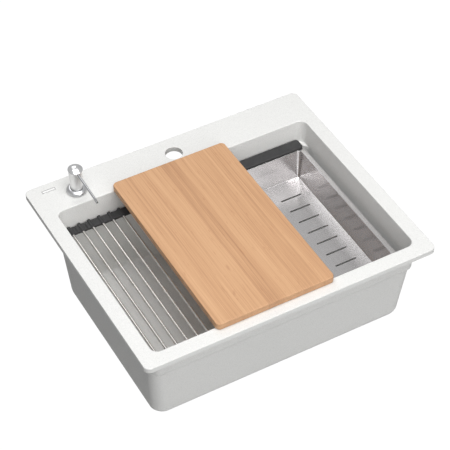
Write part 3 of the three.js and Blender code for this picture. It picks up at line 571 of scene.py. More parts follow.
# %% The moulded sink
RIM = plan(-330, 330, 0, 557, 14)
OPENING = plan(-297.5, 297.5, 32.5, 467.5, 17)
BAND = inset(OPENING, -7.5)
LEDGE_Z = -57
FLOOR_Z = -204
LOWER = plan(-295.5, 295.5, 46.5, 453.5, 20)
LOWER_FOOT = drawn_in(LOWER, 10, 7)
OUTER = plan(-302, 302, 34, 466, 25)
OUTER_FOOT = inset(LOWER_FOOT, -6)
DRAIN = (0, 250)


def circle_at(radius):
    return round_plan(*DRAIN, radius)


sink_levels = [
    (circle_at(45), -219, 0.4), (circle_at(66), -219, 1.5), (circle_at(66.5), -214, 1.5),
    (OUTER_FOOT, -214, 15), (OUTER, -76, 4), (inset(BAND, 2.3), -66, 2.2),
    (BAND, -RIM_THICKNESS, 1.5), (RIM, -RIM_THICKNESS, 1), (RIM, 0, 2.2), (OPENING, 0, 3),
    (inset(OPENING, 2), LEDGE_Z, 1.2), (LOWER, LEDGE_Z, 2), (LOWER_FOOT, FLOOR_Z, 15),
    (circle_at(57.5), -207.5, 1), (circle_at(57.5), -210.5, 0.4), (circle_at(45), -210.5, 0.4),
]
sink = object_from("moulded_sink", stack(sink_levels, closed=True), composite)
print("sink skin:", len(sink.data.polygons), "faces")

# %% [markdown]
# The deck has two round holes, one for a tap and one for the soap pump. They lie to one side of
# the bowl's rings, so they can't be part of its skin. Each is cut with a turned cutter that is a
# little wider at the top, which leaves the rounded edge that a mould gives.

# %% The holes in the deck
TAP, TAP_HOLE = (0, 509.5), 19
PUMP, PUMP_HOLE = (-230.5, 507), 17
HOLE_EDGE = 0.5


def hole_cutter(axis, radius, edge):
    return turn([(0, -20, 0), (radius, -20, 0), (radius, -edge, 0),
                 (radius + 0.3 * edge, -0.35 * edge, 0), (radius + edge, 0.001, 0),
                 (radius + edge, 8, 0), (0, 8, 0)], axis, sides=72)


cut(sink, hole_cutter(TAP, TAP_HOLE, HOLE_EDGE), hole_cutter(PUMP, PUMP_HOLE, HOLE_EDGE))
settle(sink, "sink_bowl")

# %% [markdown]
# At the deck's back left sits a small blank plate: a thin slab with rounded corners. A fine groove
# runs in its satin metal along the edge. The groove could be cut in the mesh, but it is so shallow
# that the finish draws it, from how far a point lies from the plate's middle: a shallow dip in the
# bump, and the groove's shade painted into the colour as a dark line.

# %% The blank plate
def slab(p, low, high, bend, margin=None):
    """A slab with rounded edges. margin is how far in its flat faces start."""
    inner = inset(p, margin if margin is not None else bend * 1.5)
    return stack([(inner, low, 0), (p, low, bend), (p, high, bend), (inner, high, 0)], closed=False)


PLATE = (-298, -267, 530.4, 538.6)
PLATE_SIZE = (PLATE[1] - PLATE[0], PLATE[3] - PLATE[2])
PLATE_MIDDLE = place(((PLATE[0] + PLATE[1]) / 2, (PLATE[2] + PLATE[3]) / 2, 0))
GROOVE_SHADE_INSET = 1.1


def plate_finish():
    """Pale satin metal with a thin edge groove, whose shade is painted as a dark line."""
    finish = Finish("plate_metal", Metallic=1.0)
    x, y, _ = finish.coords.axes()
    across = (x - PLATE_MIDDLE[0]).math("ABSOLUTE") - (PLATE_SIZE[0] / 2 - GROOVE_SHADE_INSET) * MM
    along = (y - PLATE_MIDDLE[1]).math("ABSOLUTE") - (PLATE_SIZE[1] / 2 - GROOVE_SHADE_INSET) * MM
    edge = across.math("MAXIMUM", along).math("ABSOLUTE")
    line = 1 - edge.between(0.0003, 0.0006)
    satin = finish.coords.scaled((30, 1900, 1900)).noise(1, detail=3)
    metal = satin.between(0.3, 0.7).mix(colour(206, 206, 205), colour(226, 226, 225))
    # Painted shade: the shadow in the groove is drawn into the base colour as a dark line.
    finish.feed("Base Color", line.mix(metal, colour(92, 92, 92)))
    finish.feed("Roughness", satin * 0.1 + 0.38)
    finish.bump(satin * 0.2 - line, 0.00005, 0.5)
    return finish.material


plate = object_from("name_plate_blank", slab(plan(*PLATE, 1.2), 0.3, 0.9, 0.25), plate_finish())
settle(plate, "blank_plate")

# %% [markdown]
# The cutting board is a thick beech slab that lies across the rim. A block with a bevel would do,
# but the slab of the plate serves here too: soft edges all round and corners rounded to 10 mm.

# %% The cutting board
BOARD = plan(-165, 101, 21.4, 474.6, 10)
BOARD_LOW, BOARD_HIGH, BOARD_EDGE = 0.3, 16.3, 2.6
board = object_from("cutting_board_beech", slab(BOARD, BOARD_LOW, BOARD_HIGH, BOARD_EDGE, 6), wood)
settle(board, "cutting_board")

# %% [markdown]
# The pan is pressed from thin sheet. A Solidify modifier could give a surface its thickness, but
# the two sides of a pressed bend have different radii, so both are drawn. The skin starts on the
# floor inside, rises a little towards the wall as a pressed floor does, climbs the wall, turns out
# over the flange, which falls a little inwards, and comes back underneath.

# %% The pressed pan
PAN_X = (85.4, 282.4)
PAN_Y = (68.4, 434.6)
PAN_FLANGE = 10.4
FLANGE_TOP = -52
PAN_FLOOR = -129.5
PAN_DRAFT = 4
SHEET = 1.2
MOUTH = plan(PAN_X[0] + PAN_FLANGE, PAN_X[1] - PAN_FLANGE, *PAN_Y, 9)
FLANGE = plan(*PAN_X, PAN_Y[0] - 22.2, PAN_Y[1] + 22.2, 9)
DISH = ((40, 0), (31, 0.1), (22, 0.5), (13, 1.1))
DISH_EDGE = 2.0
FLANGE_FALL = 0.9
pan_levels = [(inset(MOUTH, margin), PAN_FLOOR + rise, 0) for margin, rise in DISH] + [
    (inset(MOUTH, PAN_DRAFT), PAN_FLOOR + DISH_EDGE, 1.2), (MOUTH, FLANGE_TOP - FLANGE_FALL, 0.6),
    (FLANGE, FLANGE_TOP, 0.3), (FLANGE, FLANGE_TOP - SHEET, 0.3),
    (inset(MOUTH, -SHEET), FLANGE_TOP - FLANGE_FALL - SHEET, 0.4),
    (inset(MOUTH, PAN_DRAFT - SHEET), PAN_FLOOR + DISH_EDGE - SHEET, 2),
] + [(inset(MOUTH, margin), PAN_FLOOR + rise - SHEET, 0) for margin, rise in reversed(DISH)]
pan = object_from("slotted_pan", stack(pan_levels, closed=False), pan_steel)
print("pan skin:", len(pan.data.polygons), "faces")


# %% [markdown]
# Slots, rods and sleeves repeat, so Geometry Nodes place their copies. Three helpers serve every
# tree. One makes it with a named input for each size. One ends it: instances become real faces
# and take their material. One runs it on a piece and keeps the result as a plain mesh.

# %% A tree, its inputs and its end
def new_tree(name, inputs):
    """A tree with a geometry input and output, and a named input for each size."""
    tree = bpy.data.node_groups.new(name, "GeometryNodeTree")
    tree.interface.new_socket(name="Geometry", in_out="OUTPUT", socket_type="NodeSocketGeometry")
    tree.interface.new_socket(name="Geometry", in_out="INPUT", socket_type="NodeSocketGeometry")
    for label, kind in inputs:
        tree.interface.new_socket(name=label, in_out="INPUT", socket_type=f"NodeSocket{kind}")
    start = tree.nodes.new("NodeGroupInput")
    ports = {socket.name: Value(tree, socket) for socket in start.outputs if socket.name}
    return tree, ports


def end_tree(tree, geometry, material):
    real = geometry.node("GeometryNodeRealizeInstances", None, {"Geometry": geometry})
    dressed = real.node("GeometryNodeSetMaterial", None, {"Geometry": real, "Material": material})
    last = tree.nodes.new("NodeGroupOutput")
    tree.links.new(dressed.socket, last.inputs[0])


def run_tree(made, tree, settings):
    """Runs a tree on a piece and keeps its result as a plain mesh."""
    modifier = made.modifiers.new(tree.name, "NODES")
    modifier.node_group = tree
    for item in tree.interface.items_tree:
        if item.in_out == "INPUT" and item.name in settings:
            modifier[item.identifier] = settings[item.name]
    apply_modifiers(made)
    print(f"{tree.name} on {made.name}: {len(made.data.polygons)} faces")


# %% [markdown]
# Water drains through rows of slots in the pan's floor. They could be cut one by one, but the tree
# draws one rounded cutter, sets it on a grid of points and takes all of them away at once.

# %% The slots in the pan's floor
def slot_tree():
    tree, port = new_tree("rows of slots", [
        ("First", "Vector"), ("Rows", "Int"), ("Row pitch", "Vector"), ("Columns", "Int"),
        ("Column pitch", "Vector"), ("Length", "Float"), ("Width", "Float"), ("Depth", "Float"),
        ("Material", "Material")])
    start = Value(tree)
    base = start.node("GeometryNodeCurvePrimitiveQuadrilateral", None,
                      {"Width": port["Length"], "Height": port["Width"]})
    shape = base.node("GeometryNodeFilletCurve", {"mode": "POLY"},
                      {"Curve": base, "Radius": port["Width"] * 0.499, "Count": 7})
    outline = shape.node("GeometryNodeFillCurve", {"mode": "NGONS"}, {"Curve": shape})
    low = outline.node("GeometryNodeTransform", None, {
        "Geometry": outline,
        "Translation": start.node("ShaderNodeCombineXYZ", None, {2: port["Depth"] * -0.5})})
    raised = low.node("GeometryNodeExtrudeMesh", {"mode": "FACES"},
                      {"Mesh": low, "Offset Scale": port["Depth"], "Individual": False})
    under = low.node("GeometryNodeFlipFaces", None, {"Mesh": low})
    both = raised.node("GeometryNodeJoinGeometry")
    for part in (raised, under):
        tree.links.new(part.socket, both.socket.node.inputs[0])
    cutter = both.node("GeometryNodeMergeByDistance", None, {"Geometry": both, "Distance": 1e-6})
    rows = start.node("GeometryNodeMeshLine", None, {
        "Count": port["Rows"], "Start Location": port["First"], "Offset": port["Row pitch"]})
    columns = start.node("GeometryNodeMeshLine", None,
                         {"Count": port["Columns"], "Offset": port["Column pitch"]})
    row = rows.node("GeometryNodeInstanceOnPoints", None, {"Points": rows, "Instance": cutter})
    grid = columns.node("GeometryNodeInstanceOnPoints", None, {"Points": columns, "Instance": row})
    solid = grid.node("GeometryNodeRealizeInstances", None, {"Geometry": grid})
    cut_pan = solid.node("GeometryNodeMeshBoolean", {"operation": "DIFFERENCE", "solver": "EXACT"},
                         {"Mesh 1": port["Geometry"], "Mesh 2": solid})
    end_tree(tree, cut_pan, port["Material"])
    return tree


SLOT_PITCH, SLOT_ROWS = 37.2, 8
COLUMN_PITCH, SLOT_COLUMNS = 73, 2
SLOTS_MIDDLE = 251.5
first_slot = place((sum(PAN_X) / 2 - COLUMN_PITCH / 2,
                    SLOTS_MIDDLE - SLOT_PITCH * (SLOT_ROWS - 1) / 2, PAN_FLOOR))
run_tree(pan, slot_tree(), {
    "First": first_slot, "Rows": SLOT_ROWS, "Row pitch": (0, SLOT_PITCH * MM, 0),
    "Columns": SLOT_COLUMNS, "Column pitch": (COLUMN_PITCH * MM, 0, 0),
    "Length": 51 * MM, "Width": 4 * MM, "Depth": 8 * MM, "Material": pan_steel})
settle(pan, "colander_pan")

# %% [markdown]
# A bar of dark silicone is pushed onto each end of the pan's flange. It is a slab with well
# rounded edges and a groove that the sheet slips into. Two half bars would leave a seam, so the
# groove is cut from the whole bar.

# %% The pan's two handles
HANDLE_X = (86.3, 281.5)
HANDLE_LOW, HANDLE_HIGH, HANDLE_EDGE = -56.7, -47.3, 2.0
GROOVE_X, GROOVE_DEPTH = (76, 292), 21.3
for word, near, far in (("back", 436.1, 463.5), ("front", 39.5, 66.9)):
    bar = object_from(f"pan_handle_{word}", slab(
        plan(*HANDLE_X, near, far, 7), HANDLE_LOW, HANDLE_HIGH, HANDLE_EDGE, 3.4), silicone)
    groove_y = (near - 5, near + GROOVE_DEPTH) if word == "back" else (far - GROOVE_DEPTH, far + 5)
    cut(bar, slab(plan(*GROOVE_X, *groove_y, 0.5), -53.5, -51.7, 0.1, 1))
    settle(bar, f"colander_handle_{word}")

# %% [markdown]
# The rack is a row of steel rods in two side strips. Rods repeat at one pitch. An Array modifier
# would copy them too, but a tree can take its count and pitch as named inputs, and the sleeves
# can use it again. The first two rods ride on their own bodies, because they roll up.

# %% The rods
ROD_PITCH = 23.2
ROD_Z = -52.4
FIRST_ROD_X = -274.7
BACK_WALL, FRONT_WALL = 462.1, 37.9
STRIP_WIDTH = 21
ROD_RADIUS, ROD_IN_STRIP = 2.8, 17
ROD_ENDS = (FRONT_WALL + STRIP_WIDTH - ROD_IN_STRIP, BACK_WALL - STRIP_WIDTH + ROD_IN_STRIP)


def repeat_tree():
    tree, port = new_tree("repeat along a line",
                          [("Count", "Int"), ("Pitch", "Vector"), ("Material", "Material")])
    line = port["Count"].node("GeometryNodeMeshLine", None,
                              {"Count": port["Count"], "Offset": port["Pitch"]})
    copies = line.node("GeometryNodeInstanceOnPoints", None,
                       {"Points": line, "Instance": port["Geometry"]})
    end_tree(tree, copies, port["Material"])
    return tree


repeat = repeat_tree()


def rod_x(index):
    return FIRST_ROD_X + index * ROD_PITCH


def bar_along_y(x, y0, y1, z, radius, edge, sides):
    """A round bar with rounded ends."""
    profile = [(0, y0, 0), (radius, y0, edge), (radius, y1, edge), (0, y1, 0)]
    bm = turn(profile, sides=sides)
    origin = place((0, 0, 0))
    for vert in bm.verts:
        drawn = (vert.co - origin) / MM
        vert.co = place((x + drawn.x, drawn.z, z + drawn.y))
    bmesh.ops.recalc_face_normals(bm, faces=bm.faces)
    return bm


def rods(name, first, count, nodes):
    rod = object_from(
        name, bar_along_y(rod_x(first), *ROD_ENDS, ROD_Z, ROD_RADIUS, 0.4, 20), rod_steel)
    run_tree(rod, repeat, {"Count": count, "Pitch": (ROD_PITCH * MM, 0, 0), "Material": rod_steel})
    settle(rod, *nodes)


rods("rods_fixed", 2, 8, [f"rack_rod_{i}" for i in range(3, 11)])
rods("rod_rolling_2", 1, 1, ["rack_rod_2"])
rods("rod_rolling_1", 0, 1, ["rack_rod_1"])

# %% [markdown]
# Each side strip is a flat band of silicone that swells into a sleeve round every rod. The sleeves
# repeat like the rods, so the same tree places them. The band could be drawn as one wavy outline
# with them, but as a rounded slab it keeps its edges straight, and the two simply share a mesh.

# %% The side strips
STRIP_LOW, STRIP_HIGH = -56.2, -51.0
STRIP_END = 9
LINK_GAP = 0.3
SLEEVE_RADIUS, SLEEVE_PAST_BAND = 4.3, 1.6


def strip(name, node, first, last, back):
    wall = BACK_WALL if back else FRONT_WALL
    bowl = wall - STRIP_WIDTH if back else wall + STRIP_WIDTH
    y0, y1 = min(wall, bowl), max(wall, bowl)
    left = rod_x(first) - (STRIP_END if first == 0 else ROD_PITCH / 2 - LINK_GAP)
    right = rod_x(last) + (STRIP_END if last == 9 else ROD_PITCH / 2 - LINK_GAP)
    band = slab(plan(left, right, y0, y1, 1.2), STRIP_LOW, STRIP_HIGH, 1.0, 2)
    sleeves = object_from(name, bar_along_y(
        rod_x(first), y0 - SLEEVE_PAST_BAND, y1 + SLEEVE_PAST_BAND, ROD_Z, SLEEVE_RADIUS, 1.1, 24),
        silicone)
    run_tree(sleeves, repeat, {
        "Count": last - first + 1, "Pitch": (ROD_PITCH * MM, 0, 0), "Material": silicone})
    add_shape(sleeves, band)
    settle(sleeves, node)


for word, back in (("back", True), ("front", False)):
    strip(f"strip_{word}", f"rack_strip_{word}", 2, 9, back)
    strip(f"link_2_{word}", f"rack_link_2_{word}", 1, 1, back)
    strip(f"link_1_{word}", f"rack_link_1_{word}", 0, 0, back)

# %% [markdown]
# Four pieces of the soap pump show: a satin collar on the deck, a brushed neck that widens
# upwards, a polished domed cap and a thin spout. Cylinders would be too plain, so the collar and
# the neck are profiles turned on a lathe, as in the workshop. The collar's shank carries a thread
# below the deck, and the neck has a bore for the stem and a hole for the spout.

# %% The pump's collar and neck
COLLAR_Z = 1.6


def lathe_piece(name, node, profile, material, axis=PUMP, sides=64):
    return settle(object_from(name, turn(profile, axis, sides), material), node)


thread = []
for i in range(14):
    z = -45.5 + i * 2
    thread += [(15.5, z, 0), (15.0, z + 1, 0)]
lathe_piece("pump_collar", "dispenser_collar", [(15.3, -46, 0.2)] + thread + [
    (15.5, -14, 0.2), (15.5, COLLAR_Z, 0.2), (21.8, COLLAR_Z, 0.4), (22, COLLAR_Z + 1.2, 0.8),
    (20.6, COLLAR_Z + 5, 4), (16.6, COLLAR_Z + 8, 3.5), (13.7, COLLAR_Z + 8.4, 0.5),
    (13.7, COLLAR_Z + 4, 0.3), (14, COLLAR_Z, 0.4), (13.6, COLLAR_Z - 1, 0.3), (13.6, -24, 0.2),
    (9.5, -24, 0.2), (9.5, -46, 0.2)], collar_steel, sides=96)
neck = object_from("pump_neck", turn([
    (0, 58.2, 0), (14.1, 58.2, 0.4), (14.7, 57.4, 0.5), (12.7, 5.4, 0.5), (10.7, 5, 0.2),
    (10.7, 36, 0.2), (3.8, 40, 0.2), (3.8, 56.8, 0.2), (0, 56.8, 0)], PUMP), neck_steel)
SPOUT_Z, SPOUT_RADIUS, SPOUT_BORE = 54.6, 2.6, 2.0
cut(neck, bar_along_y(PUMP[0], PUMP[1] - 17, PUMP[1], SPOUT_Z, 2.9, 0.1, 24))
settle(neck, "head_neck")

# %% [markdown]
# The cap is a polished disc with a low dome, which sits on the neck a little crooked, low at the
# front. A flattened sphere would have no edge. So the profile is an arc above a short upright edge,
# turned on the lathe and then tilted about the front of the disc.

# %% The domed cap
CAP_RADIUS, CAP_DOME, CAP_EDGE = 15.8, 22, 0.5
CAP_Z, CAP_TILT = 58.5, 3.5
dome_span = math.asin(CAP_RADIUS / CAP_DOME)
cap_profile = [(0, 0, 0), (CAP_RADIUS - 0.1, 0, 0.1)]
for step in range(16, -1, -1):
    angle = step / 16 * dome_span
    rise = CAP_DOME * (math.cos(angle) - math.cos(dome_span))
    cap_profile.append((CAP_DOME * math.sin(angle), CAP_EDGE + rise, 0))
cap = turn(cap_profile, sides=96)
tilt = (Matrix.Translation(place((PUMP[0], PUMP[1] - CAP_RADIUS, CAP_Z)))
        @ Matrix.Rotation(math.radians(CAP_TILT), 4, "X")
        @ Matrix.Translation(Vector((0, CAP_RADIUS * MM, 0)) - place((0, 0, 0))))
cap.transform(tilt)
settle(object_from("pump_cap", cap, polished), "head_cap")

# %% [markdown]
# The spout is a thin bent tube that runs forward from the neck and dips at its end. A curve with
# handles could be bent by eye, but a few drawn points with a smooth line through them keep the
# dip where the drawing has it.

# %% The spout
REACH = 102
spout_line = smooth_line([Vector((PUMP[0], PUMP[1] - out, z)) for out, z in (
    (5.5, SPOUT_Z), (18.7, SPOUT_Z), (REACH * 0.5, 54.0), (REACH * 0.84, 52.4),
    (REACH * 0.95, 51.0), (REACH, 50.0))])
spout = object_from("pump_spout", tube(spout_line, SPOUT_RADIUS, SPOUT_BORE), spout_steel_painted_dark)
settle(spout, "head_spout")

# %% [markdown]
# Wings on a nut, lugs on a ring and holes in a strainer all stand evenly round an axis. A loop
# could turn each copy, but a tree does it with their number as a named input: it sets one point on
# the axis for each copy, and turns each copy by its share of a full turn.

# %% Copies round an axis
def turning_tree():
    tree, port = new_tree("repeat round an axis", [
        ("Count", "Int"), ("Axis", "Vector"), ("Material", "Material")])
    start = Value(tree)
    back = start.node("ShaderNodeVectorMath", {"operation": "SCALE"},
                      {0: port["Axis"], "Scale": -1.0})
    centred = start.node("GeometryNodeTransform", None,
                         {"Geometry": port["Geometry"], "Translation": back})
    spots = start.node("GeometryNodePoints", None,
                       {"Count": port["Count"], "Position": port["Axis"]})
    full_turns = start.node("GeometryNodeInputIndex").math("DIVIDE", port["Count"])
    angle = start.node("ShaderNodeCombineXYZ", None, {2: full_turns * (2 * math.pi)})
    copies = start.node("GeometryNodeInstanceOnPoints", None,
                        {"Points": spots, "Instance": centred, "Rotation": angle})
    end_tree(tree, copies, port["Material"])
    return tree


turning = turning_tree()


def round_copies(bm, count, axis, material):
    """A shape and its copies, turned evenly about an upright axis."""
    copies = object_from("copies", bm)
    run_tree(copies, turning, {"Count": count, "Axis": place((*axis, 0)), "Material": material})
    whole = bmesh.new()
    whole.from_mesh(copies.data)
    bpy.data.objects.remove(copies)
    return whole


# %% [markdown]
# Under the deck hang the parts that nobody sees from above: a gasket and washer, a nylon nut with
# two wings, the pump's cylinder with its dip tube, and the bottle. They could stay plain, but most
# of them show from below, so they are turned as well. The piston and stem ride with the pump's
# rod, so the head goes down with them.

# %% The soap pump below the deck
def ring_piece(name, node, inner, outer, low, high, material, axis, bend=0.2):
    return lathe_piece(name, node, [(inner, low, bend), (outer, low, bend), (outer, high, bend),
                                    (inner, high, bend)], material, axis)


def add_wings(made, count, inner, outer, width, low, high, axis):
    """Blocks that stand out from a round nut, in its own material."""
    x, y = axis
    block = plan(x + inner, x + outer, y - width / 2, y + width / 2, 1)
    add_shape(made, round_copies(
        slab(block, low, high, 0.6, 1.2), count, axis, made.data.materials[0]))


ring_piece("pump_gasket", "dispenser_gasket", 15.8, 20.5, 0.3, 1.3, rubber, PUMP)
ring_piece("pump_washer", "dispenser_washer", 15.8, 23, -13.5, -12.3, rubber, PUMP)
nut = object_from("pump_nut", turn([(15.8, -22.8, 0.6), (21, -22.8, 0.8), (21, -13.8, 0.4),
                                    (15.8, -13.8, 0.4)], PUMP), nylon)
add_wings(nut, 2, 20, 28, 5, -22.8, -16.8, PUMP)
settle(nut, "dispenser_nut")
lathe_piece("pump_barrel", "pump_cylinder", [
    (6.6, -86, 0.2), (6.6, -20.7, 0.3), (13.2, -20.7, 0.4), (13.2, -23.7, 0.3), (8.4, -23.7, 0.4),
    (8.4, -88, 0.8), (4.8, -95, 0.8), (4.8, -113, 0.3), (3.3, -113, 0.2), (3.3, -98, 0),
    (1.9, -98, 0), (1.9, -94, 0), (3.4, -92.5, 0), (3.4, -86, 0)], nylon)
ring_piece("pump_rod_tube", "pump_stem", 1.6, 3.5, -56, 50, nylon, PUMP)
lathe_piece("pump_seal", "pump_piston", [
    (3.8, -56, 0), (3.5, -58, 0), (6.3, -58, 0.3), (6.3, -56, 0.3), (5.3, -55, 0.3),
    (5.3, -53, 0.3), (6.3, -52, 0.3), (6.3, -50, 0.3), (3.8, -50, 0)], rubber)

# %% [markdown]
# The pump's return spring is a coil of steel wire in the barrel, under the piston. A Screw modifier
# would make one, but the tube from above already follows any line, so the line is simply a helix.

# %% The spring
SPRING_LOW, SPRING_HIGH, SPRING_RADIUS = -85.1, -58.9, 5
WIRE_RADIUS, WIRE_SIDES = 0.6, 8
TURNS, STEPS_A_TURN = 4, 20
coil = []
for i in range(TURNS * STEPS_A_TURN + 1):
    angle = i * 2 * math.pi / STEPS_A_TURN
    z = SPRING_LOW + (SPRING_HIGH - SPRING_LOW) * i / (TURNS * STEPS_A_TURN)
    coil.append(Vector((PUMP[0] + SPRING_RADIUS * math.cos(angle),
                        PUMP[1] + SPRING_RADIUS * math.sin(angle), z)))
settle(object_from("pump_coil", tube(coil, WIRE_RADIUS, sides=WIRE_SIDES), rod_steel),
       "pump_spring")

# %% [markdown]
# A small steel ball lets liquid into the barrel and shuts it when the pump is pressed. A UV sphere
# would do, but a half circle on the lathe is one more turned profile, like the dip tube that feeds
# it and the blow-moulded bottle. The bottle's wall is drawn on both sides, since it is open at the
# neck.

# %% The inlet ball, the dip tube and the bottle
BALL_Z, BALL_RADIUS = -91.6, 2.6
ball_profile = [(BALL_RADIUS * math.sin(i * math.pi / 16),
                 BALL_Z - BALL_RADIUS * math.cos(i * math.pi / 16), 0) for i in range(17)]
lathe_piece("pump_ball", "inlet_ball", ball_profile, polished, sides=32)
ring_piece("pump_dip_tube", "dip_tube", 2, 3, -150.3, -98.3, nylon, PUMP)
lathe_piece("bottle", "soap_bottle", [
    (15.8, -34, 0.3), (15.8, -46.3, 0.2), (14.3, -46.3, 0.2), (14.3, -49, 0.4), (21, -54, 3),
    (26, -62, 4), (26, -168, 5), (21, -174.5, 3), (2, -172.5, 2), (2, -174, 2), (23, -176, 4),
    (27.5, -169, 5), (27.5, -61, 5), (23, -52, 3), (17.3, -48, 1), (17.3, -46, 0.5),
    (17.3, -34, 0.3)], nylon)

# %% [markdown]
# The strainer clamps on the floor. Its flanged cup drops in from above, and a gasket, a fibre
# washer and a ring nut with lugs pull it tight from below. The cup is threaded for the nut, and a
# coupling nut holds the tailpiece to its outlet. A true thread is a helix. Rings of the same pitch
# look alike at this size and keep the profile a plain turning, so the thread is drawn that way, as
# on the pump's collar.

# %% The basket strainer
cup_thread = []
for i in range(12):
    z = -246 + i * 2
    cup_thread += [(43, z, 0), (42.5, z + 1, 0)]
lathe_piece("strainer_body", "strainer_cup", [
    (56, -208.9, 0.3), (56, -207.8, 0.6), (54, -207.4, 0.5), (44.8, -207.4, 1.5),
    (41.8, -210.4, 1.5), (41.8, -244.4, 5), (32, -253.2, 3), (19, -253.2, 1.2), (17, -256.4, 1),
    (17, -274.4, 0.2), (24, -274.4, 0.4), (24, -254.4, 1), (33.2, -254.4, 3), (42.8, -246.5, 2),
] + cup_thread + [
    (43, -221, 0.2), (43, -208.9, 0.4)], pan_steel, DRAIN, 96)
ring_piece("flange_seal", "strainer_seal", 46, 55, -210.2, -209.2, rubber, DRAIN)
ring_piece("floor_gasket", "strainer_gasket", 43.3, 56, -222.3, -219.3, rubber, DRAIN, 0.6)
ring_piece("fibre_ring", "strainer_fibre_washer", 43.3, 54, -223.8, -222.6, fibre, DRAIN)
locknut = object_from("ring_nut", turn([(43.3, -234.1, 0.6), (50, -234.1, 1), (50, -224.1, 0.6),
                                        (43.3, -224.1, 0.4)], DRAIN, 96), pan_steel)
add_wings(locknut, 8, 49, 55, 12, -234.1, -224.1, DRAIN)
settle(locknut, "strainer_locknut")
ring_piece("tail_washer", "slip_washer", 19, 23.5, -276.7, -274.7, nylon, DRAIN)
lathe_piece("tail_tube", "tailpiece", [
    (18, -339, 0.2), (19, -339, 0.2), (19, -279, 0.6), (23.5, -279, 0.3), (23.5, -277, 0.3),
    (18, -277, 0.4)], polished, DRAIN)
coupling = object_from("tail_nut", turn([
    (19.3, -282.3, 0.4), (26.5, -282.3, 1.2), (28.3, -280.3, 1), (28.3, -265.4, 1),
    (26.3, -263.4, 1), (24.3, -263.4, 0.4), (24.3, -279.3, 0.2), (19.3, -279.3, 0.2)], DRAIN, 8),
    polished)
settle(coupling, "coupling_nut")

# %% [markdown]
# The basket stands in the cup on a rubber stopper. A post through both ends in a knob to lift them
# by. Two rings of drain holes pierce its floor. They could be drilled one by one, but the tree that
# turns copies round an axis gives a whole ring of cutters from one, so each ring is a single cut.

# %% The basket, its stopper and its post
BASKET_Z = -249.6
basket = object_from("basket_pressed", turn([
    (3.3, BASKET_Z, 0.2), (26, BASKET_Z, 2.5), (37, -219.6, 2), (40.8, -216.2, 0.5),
    (40.8, -215.6, 0.3), (37, -217.6, 1.5), (24.8, BASKET_Z + 1.2, 2), (3.3, BASKET_Z + 1.2, 0.2)],
    DRAIN), pan_steel)
HOLES_A_RING, HOLE_RADIUS = 8, 2.5
INNER_RING, OUTER_RING = 12, 20
for reach, angle in ((INNER_RING, 0), (OUTER_RING, math.pi / HOLES_A_RING)):
    at = (DRAIN[0] + reach * math.cos(angle), DRAIN[1] + reach * math.sin(angle))
    drill = turn([(0, -253, 0), (HOLE_RADIUS, -253, 0), (HOLE_RADIUS, -245, 0), (0, -245, 0)],
                 at, sides=16)
    cut(basket, round_copies(drill, HOLES_A_RING, DRAIN, pan_steel))
settle(basket, "basket")
ring_piece("stopper_disc", "basket_stopper", 3.3, 23, -252.9, -249.9, rubber, DRAIN, 0.8)
lathe_piece("basket_knob", "basket_post", [
    (0, -252.6, 0), (3, -252.6, 0.3), (3, -248.1, 0), (6, -248.1, 0.4), (3, -245.1, 0.8),
    (3, -224.6, 1.2), (8, -222.6, 1), (8, -219.6, 1.4), (6, -217.6, 1.2), (0, -217.6, 0)],
    polished, DRAIN)

# %% [markdown]
# The picture is taken like the photograph of the real sink: a long lens, from the front left and
# 45 degrees up. A camera can be nudged until it looks right, but here its aim and distance are
# worked out from the rim's corners in the photograph, so edges fall where they should.

# %% The camera
AIM = place((-11.0, 266.4, 0))
EYE = place((-1166.6, -1792.9, 2361.4))
camera_data = bpy.data.cameras.new("camera")
camera_data.lens = 130.7
camera_data.sensor_width = 36
camera_data.clip_end = 50
camera = bpy.data.objects.new("camera", camera_data)
camera.location = EYE
camera.rotation_euler = (AIM - EYE).to_track_quat("-Z", "Y").to_euler()
bpy.context.collection.objects.link(camera)
bpy.context.scene.camera = camera
print("camera distance:", round((EYE - AIM).length, 3), "m")

# %% [markdown]
# The studio is plain: a pale floor, a large soft light overhead, a smaller one behind, three in
# front and a dim white surround, which metal sees brighter. A white floor would throw so much
# light back that the sink's sides lost their shade. So it only looks white to the camera, and
# partly so in metal, by a mix that asks what kind of ray arrives.

# %% The floor and the light
FLOOR = cad_box[0][2] - 0.0005
PAPER_GLOW, GLOW_SEEN, GLOW_IN_METAL = 1.06, 0.97, 0.25


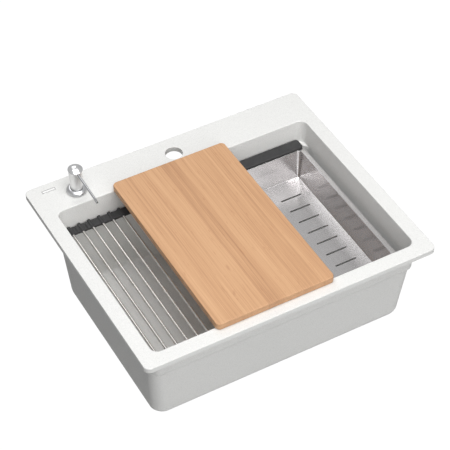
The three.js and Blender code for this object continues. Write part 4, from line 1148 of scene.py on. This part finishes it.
def floor_finish():
    finish = Finish("pale_floor", Roughness=0.9)
    dust = finish.coords.noise(40, detail=2)
    finish.feed("Base Color", dust.mix((0.34, 0.34, 0.34, 1), (0.36, 0.36, 0.36, 1)))
    seen = finish.coords.node("ShaderNodeLightPath")
    paper = finish.coords.node(
        "ShaderNodeEmission", None, {"Color": (1, 1, 1, 1), "Strength": PAPER_GLOW})
    shade = Value(finish.tree, finish.shader.outputs[0])
    in_metal = finish.coords.node("ShaderNodeLightPath", output=3)
    share = seen * GLOW_SEEN + in_metal * GLOW_IN_METAL
    both = share.node("ShaderNodeMixShader", None, {0: share, 1: shade, 2: paper})
    finish.tree.links.new(both.socket, finish.tree.nodes["Material Output"].inputs["Surface"])
    return finish.material


floor_mesh = bmesh.new()
bmesh.ops.create_grid(floor_mesh, x_segments=1, y_segments=1, size=6)
bmesh.ops.translate(floor_mesh, verts=floor_mesh.verts, vec=(0, 0, FLOOR))
object_from("floor", floor_mesh, floor_finish())


def soft_light(name, location, target, size, power):
    data = bpy.data.lights.new(name, "AREA")
    data.shape = "RECTANGLE"
    data.size, data.size_y = size
    data.energy = power
    light = bpy.data.objects.new(name, data)
    light.location = location
    light.rotation_euler = (Vector(target) - Vector(location)).to_track_quat("-Z", "Y").to_euler()
    bpy.context.collection.objects.link(light)


LIGHTS = {
    "overhead": ((-0.15, -0.1, 3.0), (0, 0.25, 0), (2.6, 2.2), 85),
    "behind": ((0.3, 2.9, 2.6), (0, 0.25, 0), (1.6, 1.6), 17),
    "front": ((-0.1, -3.0, 0.9), (0, 0.2, -0.1), (2.0, 1.2), 38),
    "front right": ((1.1, -1.75, 2.1), (0.1, 0.25, -0.1), (1.6, 1.6), 8),
    "front left": ((-0.9, -1.75, 2.1), (0.1, 0.25, -0.1), (1.6, 1.6), 11),
}
SURROUND, REFLECTED_SURROUND = 0.12, 0.5
for name, (location, target, size, power) in LIGHTS.items():
    soft_light(name, location, target, size, power)
world = bpy.data.worlds.new("surround")
world.use_nodes = True
background = world.node_tree.nodes["Background"]
background.inputs["Color"].default_value = (1, 1, 1, 1)
in_metal = Value(world.node_tree).node("ShaderNodeLightPath", output=3)
strength = in_metal * (REFLECTED_SURROUND - SURROUND) + SURROUND
world.node_tree.links.new(strength.socket, background.inputs["Strength"])
bpy.context.scene.world = world
bpy.context.scene.view_settings.view_transform = "Standard"
